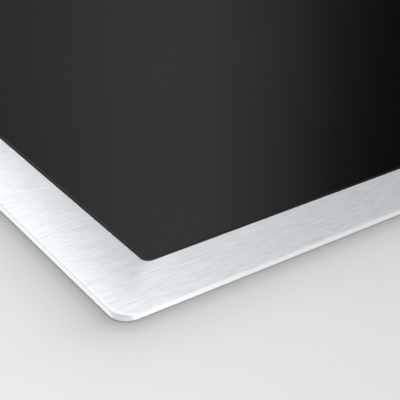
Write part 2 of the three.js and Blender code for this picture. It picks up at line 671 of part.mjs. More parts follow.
// Six-way block with a wire entry in its back face for each pole.
function terminalBlock() {
  const [left, right] = [WINDOW.left + 4, WINDOW.right - 4];
  const front = TERMINAL.front + TERMINAL.wall + 2;
  const back = front + 18;
  const bottom = CARRIER_Z + TERMINAL.wall + SEAT;
  const body = box(left, right, front, back, bottom, bottom + 18);
  const pitch = (right - left) / TERMINAL_POLES;
  const entries = Array.from({ length: TERMINAL_POLES }, (_, i) =>
    solid(new THREE.CylinderGeometry(2.6, 2.6, 12, 12)
      .translate(left + (i + 0.5) * pitch, back, bottom + 6.5)));
  return part('terminal_block', cut(body, ...entries), WHITE_PLASTIC);
}

// Bar that clamps the cord's sheath down on the saddle.
function cableClampBar() {
  const bar = box(INLET.x - 9.6, INLET.x + 9.6, SADDLE_Y, SADDLE_Y + 8, CLAMP_BAR_Z, CLAMP_BAR_Z + 3);
  const ridge = box(INLET.x - 4, INLET.x + 4, SADDLE_Y + 3, SADDLE_Y + 5, CLAMP_BAR_Z - 0.6, CLAMP_BAR_Z + 1);
  return part('cable_clamp_bar', join(bar, ridge), WHITE_PLASTIC);
}

// Rubber grommet in the rear wall: a groove between an outer and an inner flange.
function cableGrommet() {
  const inner = TRAY_Y - TRAY_SHEET - SEAT;
  const outer = TRAY_Y + SEAT;
  const { boreR, flangeR, holeR } = INLET;
  const groove = holeR - 0.2;
  const profile = [[boreR, inner - 2.4], [flangeR - 0.8, inner - 2.4], [flangeR, inner - 1.6],
    [flangeR, inner], [groove, inner], [groove, outer], [flangeR, outer], [flangeR, outer + 1.6],
    [flangeR - 1.6, outer + 3], [boreR, outer + 3], [boreR, inner - 2.4]];
  const points = profile.map(([radius, along]) => new THREE.Vector2(radius, along));
  const body = solid(new THREE.LatheGeometry(points, 20).translate(INLET.x, 0, INLET.z));
  return part('cable_grommet', body, BLACK_SILICONE);
}

// Drop-down cover over the window, on a barrel with a pin at each end, latched at its top.
function terminalCover() {
  const { y, z } = COVER_AXIS;
  const [x0, x1] = [COVER_EARS[0] + EAR_T + 0.3, COVER_EARS[1] - 0.3];
  const inner = y - 2.1;
  const barrel = lyingRod(x0, x1, y, z, 2.2);
  const pin = lyingRod(x0 - 1.7, x1 + 1.7, y, z, COVER_PIN_R);
  const root = box(x0, x1, inner, inner + COVER_T, z, z + 5);
  const face = box(WINDOW.left - 4.5, WINDOW.right + 4, inner, inner + COVER_T, z + 3.9, WINDOW.top + 2);
  const middle = (WINDOW.left + WINDOW.right) / 2;
  const latch = box(middle - 4, middle + 4, inner - 2.6, inner + 0.5, WINDOW.top - 2.4, WINDOW.top - 0.8);
  const tab = box(middle - 8, middle + 8, inner, inner + COVER_T + 1.5, WINDOW.top + 1, WINDOW.top + 3);
  return part('terminal_cover', join(barrel, pin, root, face, latch, tab), BLACK_PLASTIC);
}

// ---- Worktop clamps ------------------------------------------------------------------------------

// Screw that threads up into the lug: its head lifts the washer and the arm.
function clampScrew({ name, sx, sy }) {
  const { r, headR, headBottom, headTop, top } = CLAMP_SCREW;
  const profile = [[0, headBottom], [headR - 0.6, headBottom], [headR, headBottom + 0.6],
    [headR, headTop], [r, headTop], [r, top], [0, top]];
  const body = turned(profile, 18).translate([sx * CLAMP_X, sy * CLAMP_Y, 0]);
  return part(`clamp_screw_${name}`, body, ZINC_PLATED);
}

function clampWasher({ name, sx, sy }) {
  const body = ring(CLAMP_SCREW.r + 0.3, WASHER.r, WASHER.bottom, WASHER.top, 20);
  return part(`clamp_washer_${name}`, body.translate([sx * CLAMP_X, sy * CLAMP_Y, 0]), ZINC_PLATED);
}

// Steel arm, stowed along the casing, with an upturned grip at its end.
function clampArm({ name, sx, sy }) {
  const half = CLAMP_ARM_W / 2;
  const outline = polygon([...arc(0, 0, half, 180, 360, 8), [half, CLAMP_ARM_L], [-half, CLAMP_ARM_L]]);
  const strip = prism(outline, ARM_BOTTOM, ARM_BOTTOM + CLAMP_ARM_T);
  const gripTop = ARM_BOTTOM + CLAMP_ARM_T + CLAMP_GRIP;
  const grip = box(-half, half, CLAMP_ARM_L - CLAMP_ARM_T, CLAMP_ARM_L, ARM_BOTTOM, gripTop);
  const hole = rod(0, 0, CLAMP_SCREW.r + 0.4, ARM_BOTTOM - 1, gripTop, 18);
  const turn = sy > 0 ? 180 : 0;
  const arm = cut(join(strip, grip), hole).rotate([0, 0, turn]);
  return part(`clamp_arm_${name}`, arm.translate([sx * CLAMP_X, sy * CLAMP_Y, 0]), GALVANISED);
}

// ---- Assembly -----------------------------------------------------------------------------------

const cooktop = new THREE.Group();
cooktop.name = 'induction_cooktop';
cooktop.add(trimFrame(), glassPanel(), glassBond(), worktopSeal(), casingTray());
for (const [side, sign] of SIDES) {
  cooktop.add(coilPlate(side, sign), boardCarrier(side, sign), powerBoard(side, sign));
  cooktop.add(heatSink(side, sign), ...POSTS.map((post) => plateSpring(side, sign, post)));
}
for (const zone of ZONES) {
  cooktop.add(coilFormer(zone), coilWinding(zone), micaDisc(zone), tempSensor(zone));
}
cooktop.add(filterBoard(), touchBoard(), touchCarrier(), ribbonCable());
cooktop.add(blowerHousing(), blowerCover(), blowerMotor(), blowerRotor());
cooktop.add(terminalHousing(), terminalBlock(), terminalCover(), cableClampBar(), cableGrommet());
for (const clamp of CLAMPS) {
  cooktop.add(clampScrew(clamp), clampWasher(clamp), clampArm(clamp));
}

export default cooktop;
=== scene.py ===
"""Looks of a built-in induction cooktop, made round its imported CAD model.

Metres, in the CAD model's own frame: +X is the cook's right, +Y the back, +Z up.
"""

import math

import bmesh
import bpy
from mathutils import Matrix, Vector


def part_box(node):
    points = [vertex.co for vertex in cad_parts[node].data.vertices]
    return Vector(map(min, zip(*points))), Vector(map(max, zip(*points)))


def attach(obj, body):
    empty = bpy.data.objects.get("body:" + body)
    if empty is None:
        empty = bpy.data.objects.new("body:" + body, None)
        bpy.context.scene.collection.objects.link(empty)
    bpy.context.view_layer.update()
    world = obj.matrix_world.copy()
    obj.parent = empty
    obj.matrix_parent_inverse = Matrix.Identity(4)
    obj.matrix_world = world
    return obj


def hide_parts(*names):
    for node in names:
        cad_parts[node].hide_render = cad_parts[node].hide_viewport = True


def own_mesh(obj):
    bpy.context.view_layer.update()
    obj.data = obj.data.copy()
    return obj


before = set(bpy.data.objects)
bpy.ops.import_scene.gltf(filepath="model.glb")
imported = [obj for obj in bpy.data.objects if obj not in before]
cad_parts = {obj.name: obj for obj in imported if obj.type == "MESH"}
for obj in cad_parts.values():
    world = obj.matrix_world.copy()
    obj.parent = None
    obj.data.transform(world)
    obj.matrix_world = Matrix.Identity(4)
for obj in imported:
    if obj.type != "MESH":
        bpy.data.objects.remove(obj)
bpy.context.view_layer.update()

MM = 0.001

# ---- Places taken from the frame ----

FRAME_LOW, FRAME_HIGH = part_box("trim_frame")
WORKTOP_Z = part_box("worktop_seal")[0].z
GLASS_LOW, GLASS_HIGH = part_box("glass_panel")
CASING_LOW, CASING_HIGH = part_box("casing_tray")

# ---- Driving sizes: the CAD model's, but for the lip, which stands a little lower over the glass ----

BAND = 15 * MM
SHEET = 0.6 * MM
RIM_Z = WORKTOP_Z + 0.35 * MM
RIM_H = 0.7 * MM
RIM_R = 0.6 * MM
LIP_R = 0.3 * MM
LIP_Z = GLASS_HIGH.z + 0.08 * MM
CROWN_RISE = 0.2 * MM
OUTER_CORNER_R = 3.9 * MM
INNER_CORNER_R = 1.9 * MM
LEDGE_W = 9 * MM

CASING_W = 530 * MM
CASING_D = 470 * MM
ZONES = ["front_left", "rear_left", "front_right", "rear_right"]
CLAMPS = ["front_left", "front_right", "rear_left", "rear_right"]


def middle(node):
    """The middle of a CAD node's box."""
    low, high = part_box(node)
    return (Vector(low) + Vector(high)) / 2


# ---- Mesh helpers ----


def add_object(name, shape, material, crease=35):
    """An object from a bmesh, with its faces turned outwards and its edges sharp beyond crease degrees."""
    bmesh.ops.recalc_face_normals(shape, faces=shape.faces)
    mesh = bpy.data.meshes.new(name)
    shape.to_mesh(mesh)
    shape.free()
    mesh.shade_smooth()
    mesh.set_sharp_from_angle(angle=math.radians(crease))
    mesh.materials.append(material)
    made = bpy.data.objects.new(name, mesh)
    bpy.context.scene.collection.objects.link(made)
    return made


def mesh_object(name, verts, faces, material, crease=35):
    """An object from points and the faces between them."""
    shape = bmesh.new()
    points = [shape.verts.new(point) for point in verts]
    for face in faces:
        shape.faces.new([points[i] for i in face])
    return add_object(name, shape, material, crease)


def arc(cx, cy, radius, start, end, steps):
    """Points on an arc between two angles in degrees."""
    turns = (math.radians(start + (end - start) * i / steps) for i in range(steps + 1))
    return [(cx + radius * math.cos(t), cy + radius * math.sin(t)) for t in turns]


def corner_loop(half_w, half_d, radius, steps):
    """A rounded rectangle's outline, anticlockwise from its right-hand side."""
    loop = []
    for quarter, (sx, sy) in enumerate(((1, 1), (-1, 1), (-1, -1), (1, -1))):
        cx, cy = sx * (half_w - radius), sy * (half_d - radius)
        loop += arc(cx, cy, radius, quarter * 90, quarter * 90 + 90, steps)
    return loop


def framed(profile, radius_at, steps=14, spans=24):
    """Carries a closed (inset, height) profile round the frame's outline.

    Long sides are divided into spans, so that shading and baking stay even along them.
    """
    half_w = (FRAME_HIGH.x - FRAME_LOW.x) / 2
    half_d = (FRAME_HIGH.y - FRAME_LOW.y) / 2
    loops = []
    for inset, height in profile:
        corners = corner_loop(half_w - inset, half_d - inset, radius_at(inset), steps)
        loop = []
        for i, (x, y) in enumerate(corners):
            loop.append((x, y, height))
            if i % (steps + 1) == steps:
                next_x, next_y = corners[(i + 1) % len(corners)]
                for f in (k / spans for k in range(1, spans)):
                    loop.append((x + (next_x - x) * f, y + (next_y - y) * f, height))
        loops.append(loop)
    count, around = len(loops), len(loops[0])
    faces = []
    for i in range(count):
        here, there = i * around, (i + 1) % count * around
        for j in range(around):
            k = (j + 1) % around
            faces.append((here + j, here + k, there + k, there + j))
    return [point for loop in loops for point in loop], faces


def flatten_normals(piece):
    """Shades flat faces flat, and leaves the turn of the light to the rounded edges between them."""
    modifier = piece.modifiers.new("flat_faces", "WEIGHTED_NORMAL")
    modifier.keep_sharp = True
    modifier.weight = 100


class Solid:
    """Collects closed shapes, which become one piece."""

    def __init__(self):
        self.shape = bmesh.new()

    def finish_shape(self, verts, bevel):
        """Rounds the sharp edges of the shape that verts belong to."""
        if bevel:
            edges = {e for v in verts for e in v.link_edges}
            turned = math.radians(40)
            sharp = [e for e in edges if len(e.link_faces) == 2 and e.calc_face_angle() > turned]
            bmesh.ops.bevel(self.shape, geom=sharp, offset=bevel, segments=2, affect="EDGES",
                            profile=0.5, clamp_overlap=True)
        return self

    def block(self, low, high, bevel=0.0, turn=0.0, about=None):
        """A box between two corners, turned about a point's vertical axis."""
        low, high = Vector(low), Vector(high)
        place = Matrix.Translation((low + high) / 2) @ Matrix.Diagonal((*(high - low), 1))
        if turn:
            pivot = Matrix.Translation(Vector(about) if about else (low + high) / 2)
            place = pivot @ Matrix.Rotation(turn, 4, "Z") @ pivot.inverted() @ place
        made = bmesh.ops.create_cube(self.shape, size=1, matrix=place)
        return self.finish_shape(made["verts"], bevel)

    def prism(self, outline, bottom, top, bevel=0.0, place=None):
        """A flat outline raised from one height to another, and then placed."""
        place = place or Matrix.Identity(4)
        rings = [[self.shape.verts.new(place @ Vector((x, y, z))) for x, y in outline]
                 for z in (bottom, top)]
        self.shape.faces.new(rings[0])
        self.shape.faces.new(rings[1])
        for i in range(len(outline)):
            j = (i + 1) % len(outline)
            self.shape.faces.new((rings[0][i], rings[0][j], rings[1][j], rings[1][i]))
        return self.finish_shape(rings[0] + rings[1], bevel)

    def lathe(self, profile, place, steps=32):
        """Turns a (radius, height) profile about its upright axis.

        The profile starts and ends on the axis, or else it closes on itself.
        """
        turns = [2 * math.pi * i / steps for i in range(steps)]
        rings = []
        for radius, height in profile:
            if radius <= 0:
                rings.append([self.shape.verts.new(place @ Vector((0, 0, height)))] * steps)
            else:
                points = (Vector((radius * math.cos(t), radius * math.sin(t), height)) for t in turns)
                rings.append([self.shape.verts.new(place @ point) for point in points])
        pairs = list(zip(rings, rings[1:]))
        if profile[0][0] > 0:
            pairs.append((rings[-1], rings[0]))
        for here, there in pairs:
            for i in range(steps):
                j = (i + 1) % steps
                corners = list(dict.fromkeys((here[i], here[j], there[j], there[i])))
                if len(corners) > 2:
                    self.shape.faces.new(corners)
        return self

    def tube(self, path, width, height, sides=6):
        """An elliptical section carried along a path that stays near level, capped at both ends."""
        rings = []
        for i, here in enumerate(path):
            before, after = path[max(i - 1, 0)], path[min(i + 1, len(path) - 1)]
            along = (Vector(after) - Vector(before)).normalized()
            across = along.cross(Vector((0, 0, 1))).normalized()
            up = across.cross(along)
            ring = []
            for k in range(sides):
                t = 2 * math.pi * (k + 0.5) / sides
                ring.append(self.shape.verts.new(Vector(here) + across * (width / 2 * math.cos(t))
                                                 + up * (height / 2 * math.sin(t))))
            rings.append(ring)
        for here, there in zip(rings, rings[1:]):
            for k in range(sides):
                m = (k + 1) % sides
                self.shape.faces.new((here[k], here[m], there[m], there[k]))
        self.shape.faces.new(rings[0])
        self.shape.faces.new(rings[-1])
        return self

    def piece(self, name, material, body, slot, *replaced, crease=35):
        """Makes a piece of what was collected, which rides on a body and may replace CAD nodes."""
        made = add_object(name, self.shape, material, crease)
        flatten_normals(made)
        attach(made, body)
        if replaced:
            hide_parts(*replaced)
        return made


def at(x, y, z, tilt=None):
    """A placing matrix, tilted by an angle and axis if wanted."""
    place = Matrix.Translation((x, y, z))
    return place @ Matrix.Rotation(tilt[0], 4, tilt[1]) if tilt else place


# The plan leans a little with height, so that upright walls have a grain direction too.
UV_LEAN = 0.03


def flat_uv(piece):
    """UVs straight down from above, so that U and the steel's grain run along X."""
    layer = piece.data.uv_layers.new(name="plan")
    for loop in piece.data.loops:
        x, y, z = piece.data.vertices[loop.vertex_index].co
        layer.data[loop.index].uv = (x + UV_LEAN * z, y + UV_LEAN * z)


# ---- Material helpers ----


class Nodes:
    """Short ways to add nodes to a node tree."""

    def __init__(self, tree):
        self.tree = tree

    def add(self, kind, values=None, **settings):
        node = self.tree.nodes.new(kind)
        for key, value in settings.items():
            setattr(node, key, value)
        for key, value in (values or {}).items():
            node.inputs[key].default_value = value
        return node

    def link(self, out, into):
        self.tree.links.new(out, into)

    def vector(self, operation, first, second=None):
        """A vector sum, whose second term is another socket or a fixed vector."""
        node = self.add("ShaderNodeVectorMath", operation=operation)
        self.link(first, node.inputs[0])
        if isinstance(second, bpy.types.NodeSocket):
            self.link(second, node.inputs[1])
        elif second:
            node.inputs[1].default_value = second
        return node.outputs["Value" if operation in ("LENGTH", "DOT_PRODUCT") else "Vector"]

    def parts(self, vector):
        """The X, Y and Z of a vector."""
        node = self.add("ShaderNodeSeparateXYZ")
        self.link(vector, node.inputs[0])
        return node.outputs

    def spread(self, value, low=0.0, high=1.0, from_low=0.0, from_high=1.0, kind="LINEAR"):
        """A value carried from one range to another, and held at its ends."""
        node = self.add("ShaderNodeMapRange", {"From Min": from_low, "From Max": from_high,
                                               "To Min": low, "To Max": high}, interpolation_type=kind)
        self.link(value, node.inputs["Value"])
        return node.outputs["Result"]

    def ramp(self, value, stops):
        """A colour that follows a value from 0 to 1, through (position, colour) stops."""
        node = self.add("ShaderNodeValToRGB")
        elements = node.color_ramp.elements
        while len(elements) < len(stops):
            elements.new(0.5)
        for element, (position, colour) in zip(elements, stops):
            element.position, element.color = position, (*colour, 1)
        self.link(value, node.inputs["Fac"])
        return node.outputs["Color"]

    def mix(self, factor, first, second):
        """A colour between two sockets, or between a socket and a fixed colour."""
        node = self.add("ShaderNodeMix", data_type="RGBA")
        self.link(factor, node.inputs["Factor"])
        self.link(first, node.inputs["A"])
        if isinstance(second, bpy.types.NodeSocket):
            self.link(second, node.inputs["B"])
        else:
            node.inputs["B"].default_value = second
        return node.outputs["Result"]


class Finish(Nodes):
    """A material with a Principled shader."""

    def __init__(self, name, **sockets):
        self.material = bpy.data.materials.new(name)
        self.material.use_nodes = True
        super().__init__(self.material.node_tree)
        self.shader = self.tree.nodes["Principled BSDF"]
        for socket, value in sockets.items():
            self.shader.inputs[socket.replace("_", " ")].default_value = value

    def set(self, socket, out):
        self.link(out, self.shader.inputs[socket])

    def coordinates(self, scale=(1, 1, 1)):
        mapping = self.add("ShaderNodeMapping", {"Scale": scale})
        self.link(self.add("ShaderNodeTexCoord").outputs["Object"], mapping.inputs["Vector"])
        return mapping.outputs["Vector"]

    def noise(self, scale, stretch=(1, 1, 1), detail=4, roughness=0.5):
        node = self.add("ShaderNodeTexNoise", {"Scale": scale, "Detail": detail, "Roughness": roughness})
        self.link(self.coordinates(stretch), node.inputs["Vector"])
        return node.outputs["Fac"]

    def bump(self, height, distance, strength):
        node = self.add("ShaderNodeBump", {"Strength": strength, "Distance": distance})
        self.link(height, node.inputs["Height"])
        self.set("Normal", node.outputs["Normal"])


def brushed_stainless():
    """Stainless sheet brushed along X: long fine scratches in colour, roughness and relief, and a painted
    highlight on the rim.
    """
    m = Finish("brushed_stainless", Metallic=1.0, Anisotropic=0.8, Anisotropic_Rotation=0.25)
    fine = m.noise(1.0, (270, 5200, 2600), detail=3, roughness=0.6)
    broad = m.noise(1.0, (110, 1900, 900), detail=2)
    blend = m.add("ShaderNodeMath", {1: 0.3}, operation="MULTIPLY_ADD")
    m.link(broad, blend.inputs[0])
    m.link(fine, blend.inputs[2])
    brushed = m.ramp(blend.outputs[0], [(0.45, (0.63, 0.654, 0.669)), (0.9, (0.84, 0.866, 0.882))])
    # A painted highlight: the sloping rim is painted brighter below its top edge, standing in for the bright
    # line of light along it.
    height = m.parts(m.coordinates())["Z"]
    slope = m.parts(m.add("ShaderNodeNewGeometry").outputs["Normal"])["Z"]
    painted_rim_highlight = m.add("ShaderNodeMath", operation="MULTIPLY")
    m.link(m.spread(height, 1, 0, RIM_Z + 0.48 * MM, RIM_Z + 0.62 * MM), painted_rim_highlight.inputs[0])
    m.link(m.spread(slope, 1, 0, 0.8, 0.98), painted_rim_highlight.inputs[1])
    # The rim's painted highlight is mixed into the brushed colour here.
    m.set("Base Color", m.mix(painted_rim_highlight.outputs[0], brushed, (0.89, 0.915, 0.93, 1)))
    m.set("Roughness", m.spread(fine, 0.46, 0.60))
    m.bump(fine, 0.012 * MM, 0.5)
    tangent = m.add("ShaderNodeTangent", direction_type="UV_MAP", uv_map="plan")
    m.set("Tangent", tangent.outputs["Tangent"])
    return m.material


def black_glass_ceramic():
    """Polished opaque black glass-ceramic with a barely uneven surface."""
    m = Finish("black_glass_ceramic", Metallic=0.0, IOR=1.52)
    speck = m.noise(900, detail=2)
    m.set("Base Color", m.ramp(speck, [(0.3, (0.0011, 0.0012, 0.0012)), (0.8, (0.0018, 0.0020, 0.0019))]))
    m.set("Roughness", m.spread(m.noise(60, detail=3), 0.035, 0.06))
    m.bump(m.noise(14, detail=1), 0.02 * MM, 0.3)
    return m.material


def black_silicone():
    """Silicone tooled wet, so its skin is nearly as smooth as the glass."""
    m = Finish("black_silicone", Metallic=0.0, IOR=1.5)
    grain = m.noise(2500, detail=3)
    m.set("Base Color", m.ramp(grain, [(0.3, (0.002, 0.002, 0.002)), (0.8, (0.004, 0.004, 0.004))]))
    m.set("Roughness", m.spread(grain, 0.08, 0.16))
    m.bump(grain, 0.01 * MM, 0.2)
    return m.material


def moulded(name, dark, light, rough, scale, depth):
    """Plastic, rubber, foam or ceramic: mottled colour, uneven gloss, and relief of a depth in mm."""
    m = Finish(name, Metallic=0.0, IOR=1.5)
    grain = m.noise(scale, detail=5, roughness=0.6)
    m.set("Base Color", m.ramp(m.noise(scale / 14, detail=2), [(0.3, dark), (0.7, light)]))
    m.set("Roughness", m.spread(grain, *rough, 0.3, 0.7))
    m.bump(grain, depth * MM, 0.6)
    return m.material


def plated(name, dark, light, rough, scale, depth, stretch=(1, 1, 1)):
    """Metal with a rolled, drawn or plated skin: streaks in colour, gloss and relief."""
    m = Finish(name, Metallic=1.0)
    grain = m.noise(scale, stretch, detail=4, roughness=0.6)
    m.set("Base Color", m.ramp(m.noise(scale / 20, stretch, detail=3), [(0.3, dark), (0.7, light)]))
    m.set("Roughness", m.spread(grain, *rough, 0.3, 0.7))
    m.bump(grain, depth * MM, 0.5)
    return m.material


def galvanised_sheet():
    """Hot-dip galvanised sheet: flat crystals of zinc, each a little lighter or darker, under scuffs."""
    m = Finish("galvanised_sheet", Metallic=1.0)
    crystals = m.add("ShaderNodeTexVoronoi", {"Scale": 150.0, "Randomness": 1.0})
    warped = m.add("ShaderNodeVectorMath", {1: (0.004, 0.004, 0.004)}, operation="MULTIPLY_ADD")
    m.link(m.noise(60, detail=2), warped.inputs[0])
    m.link(m.coordinates(), warped.inputs[2])
    m.link(warped.outputs["Vector"], crystals.inputs["Vector"])
    tone = m.add("ShaderNodeSeparateColor")
    m.link(crystals.outputs["Color"], tone.inputs[0])
    greys = [(0.0, (0.53, 0.55, 0.56)), (0.5, (0.59, 0.61, 0.62)), (1.0, (0.65, 0.665, 0.675))]
    m.set("Base Color", m.ramp(tone.outputs[0], greys))
    m.set("Roughness", m.spread(tone.outputs[1], 0.34, 0.48))
    m.bump(m.noise(700, (1, 1, 3), detail=4), 0.02 * MM, 0.5)
    return m.material


def circuit_board():
    """Green solder mask with the tracks showing through as lighter and darker runs."""
    m = Finish("circuit_board", Metallic=0.0, IOR=1.5, Coat_Weight=0.35, Coat_Roughness=0.15)
    tracks = m.add("ShaderNodeTexBrick", {
        "Scale": 1.0, "Mortar Size": 0.0009, "Brick Width": 0.016, "Row Height": 0.0035,
        "Color1": (0.012, 0.11, 0.045, 1), "Color2": (0.018, 0.15, 0.062, 1),
        "Mortar": (0.006, 0.06, 0.027, 1)})
    m.link(m.coordinates(), tracks.inputs["Vector"])
    m.set("Base Color", tracks.outputs["Color"])
    m.set("Roughness", m.spread(m.noise(900, detail=3), 0.32, 0.46))
    m.bump(tracks.outputs["Fac"], 0.04 * MM, 0.6)
    return m.material


def make_materials():
    """Every finish of the object, by name.

    The tables give dark and light colours, a range of roughness, the grain's scale, the depth of its
    relief in mm and, for a drawn metal, its stretch.
    """
    made = {
        "stainless": brushed_stainless(),
        "glass": black_glass_ceramic(),
        "bead": black_silicone(),
        "galvanised": galvanised_sheet(),
        "board": circuit_board(),
    }
    plastics = {
        "rubber": ((0.012, 0.012, 0.012), (0.022, 0.022, 0.022), (0.5, 0.7), 1800, 0.02),
        "foam": ((0.035, 0.036, 0.037), (0.07, 0.072, 0.074), (0.85, 0.97), 1400, 0.12),
        "black": ((0.011, 0.011, 0.012), (0.020, 0.020, 0.022), (0.38, 0.55), 2400, 0.03),
        "white": ((0.62, 0.61, 0.57), (0.72, 0.71, 0.67), (0.34, 0.48), 1500, 0.015),
        "former": ((0.025, 0.026, 0.028), (0.045, 0.046, 0.05), (0.5, 0.68), 2000, 0.03),
        "ferrite": ((0.030, 0.030, 0.032), (0.060, 0.060, 0.064), (0.45, 0.7), 1200, 0.03),
        "sleeve": ((0.008, 0.016, 0.045), (0.014, 0.026, 0.07), (0.2, 0.34), 700, 0.008),
        "relay": ((0.30, 0.13, 0.02), (0.40, 0.18, 0.03), (0.3, 0.45), 1200, 0.01),
        "film": ((0.30, 0.27, 0.05), (0.42, 0.38, 0.08), (0.28, 0.42), 1200, 0.01),
        "print": ((0.42, 0.43, 0.44), (0.52, 0.53, 0.54), (0.35, 0.5), 3000, 0.003),
        "mica": ((0.26, 0.20, 0.11), (0.42, 0.34, 0.20), (0.4, 0.62), 350, 0.02),
    }
    for name, look in plastics.items():
        made[name] = moulded(f"{name}_finish", *look)
    metals = {
        "zinc": ((0.50, 0.51, 0.52), (0.66, 0.67, 0.68), (0.24, 0.38), 900, 0.012),
        "chromate": ((0.50, 0.43, 0.24), (0.66, 0.58, 0.36), (0.22, 0.36), 900, 0.012),
        "spring": ((0.30, 0.31, 0.33), (0.44, 0.45, 0.47), (0.22, 0.36), 1200, 0.01),
        "aluminium": ((0.66, 0.67, 0.68), (0.80, 0.81, 0.82), (0.30, 0.46), 260, 0.015, (14, 1, 14)),
        "copper": ((0.55, 0.25, 0.12), (0.75, 0.38, 0.20), (0.28, 0.42), 1600, 0.05),
    }
    for name, look in metals.items():
        made[name] = plated(f"{name}_finish", *look)
    return made


# Soft shade on the worktop: the light that is left at distances in mm from the frame's edge.
SHADE_REACH = 40 * MM
SHADE_FRONT = [(0, 0.54), (0.7, 0.575), (1.4, 0.638), (2, 0.695), (2.8, 0.745), (3.5, 0.795), (4.2, 0.835),
               (6.3, 0.89), (9.8, 0.94), (14, 0.975), (23, 0.99), (40, 1)]
SHADE_LEFT = [(0, 0.42), (0.4, 0.46), (0.7, 0.491), (1.4, 0.573), (2, 0.625), (2.8, 0.693), (4.2, 0.761),
              (6.3, 0.83), (9.8, 0.90), (14, 0.94), (23, 0.97), (40, 1)]

# Painted shade: the whole worktop is also painted a little darker from left to right, between two distances
# from the corner, standing in for light that falls off.
FALLOFF_FROM = FRAME_LOW.x - 45 * MM
FALLOFF_TO = FRAME_LOW.x + 90 * MM


def grey(level):
    return (level, level, level)


def pale_worktop():
    """Matt pale surface, with the soft shade that lies round the frame and a painted darkening from left to
    right worked into its colour.
    """
    m = Finish("pale_worktop", Metallic=0.0, Roughness=0.6)
    where = m.add("ShaderNodeTexCoord").outputs["Object"]
    straight = (FRAME_HIGH.x - OUTER_CORNER_R, FRAME_HIGH.y - OUTER_CORNER_R, 1)
    beyond = m.vector("SUBTRACT", m.vector("ABSOLUTE", where), straight)
    outside = m.vector("MAXIMUM", beyond, (0, 0, 0))
    away = m.spread(m.vector("LENGTH", outside), 0, 1, OUTER_CORNER_R, OUTER_CORNER_R + SHADE_REACH)
    left, front = (m.ramp(away, [(distance * MM / SHADE_REACH, grey(level)) for distance, level in curve])
                   for curve in (SHADE_LEFT, SHADE_FRONT))
    shade = m.mix(m.parts(m.vector("NORMALIZE", outside))["Y"], left, front)
    # Painted shade: darker from left to right across the worktop.
    painted_falloff = m.ramp(m.spread(m.parts(where)["X"], 0, 1, FALLOFF_FROM, FALLOFF_TO), [(0, grey(1)), (1, grey(0.77))])
    tone = m.ramp(m.noise(40, detail=3), [(0.3, grey(0.81)), (0.7, grey(0.825))])
    m.set("Base Color", m.vector("MULTIPLY", m.vector("MULTIPLY", tone, shade), painted_falloff))
    return m.material


# ---- Trim frame and glass ----


def band_height(inset):
    """Height of the band's upper surface, as in the CAD model."""
    along = min(max((inset - RIM_R) / (BAND - RIM_R), 0), 1)
    rim_top = RIM_Z + RIM_H
    return rim_top + (LIP_Z - rim_top) * along + CROWN_RISE * 4 * along * (1 - along)


def corner_radius(inset):
    """The corner's radius, from the frame's outer edge to its lip."""
    return OUTER_CORNER_R + (INNER_CORNER_R - OUTER_CORNER_R) * min(inset / BAND, 1)


def trim_frame():
    """One pressed sheet: rim, crowned band, lip and the ledge that the glass is bonded to."""
    ledge_top, bend = FRAME_LOW.z + SHEET, 0.4 * MM
    steps = 22
    insets = [RIM_R + (BAND - LIP_R - RIM_R) * i / (steps - 1) for i in range(steps)]
    upper = [(inset, band_height(inset)) for inset in insets]
    lower = [(inset, band_height(inset) - SHEET) for inset in [BAND - SHEET] + insets[-2:2:-1]]
    lip_z = band_height(BAND - LIP_R) - LIP_R
    foot, foot_r, shoulder = WORKTOP_Z + 0.03 * MM, 0.04 * MM, 0.12 * MM
    profile = [(SHEET, foot), (foot_r, foot), (0, foot + foot_r), (0, RIM_Z - 0.1 * MM),
               (RIM_R - shoulder, RIM_Z + RIM_H - shoulder),
               (RIM_R - 0.4 * shoulder, RIM_Z + RIM_H - 0.3 * shoulder),
               (RIM_R + shoulder, band_height(RIM_R + shoulder))]
    profile += upper[1:] + arc(BAND - LIP_R, lip_z, LIP_R, 80, 0, 6)
    profile += [(BAND, ledge_top + bend), (BAND + bend, ledge_top), (BAND + LEDGE_W, ledge_top),
                (BAND + LEDGE_W, FRAME_LOW.z), (BAND - SHEET, FRAME_LOW.z)]
    piece = mesh_object("brushed_trim_frame", *framed(profile + lower, corner_radius), FINISH["stainless"])
    flat_uv(piece)
    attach(piece, "hob_body")
    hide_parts("trim_frame")


def glass_top():
    """The glass-ceramic plate, with ground and polished edges."""
    bevel = 0.1 * MM
    # How far in from the plate's outline, and how far from its lower or upper face.
    edge = [(bevel, 0), (bevel * 0.3, bevel * 0.3), (0, bevel)]
    levels = [(inset, GLASS_LOW.z + rise) for inset, rise in edge]
    levels += [(inset, GLASS_HIGH.z - rise) for inset, rise in reversed(edge)]
    radius = INNER_CORNER_R - 0.4 * MM
    half_w, half_d = GLASS_HIGH.x, GLASS_HIGH.y
    rings = [[(x, y, z) for x, y in corner_loop(half_w - inset, half_d - inset, radius - inset, 10)]
             for inset, z in levels]
    n, last = len(rings[0]), len(rings) - 1
    faces = [tuple(range(n)), tuple(range(n * last, n * last + n))]
    for k in range(last):
        below, above = k * n, (k + 1) * n
        faces += [(below + i, below + (i + 1) % n, above + (i + 1) % n, above + i) for i in range(n)]
    verts = [point for ring in rings for point in ring]
    plate = mesh_object("glass_ceramic_top", verts, faces, FINISH["glass"], crease=12)
    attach(plate, "hob_body")
    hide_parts("glass_panel")


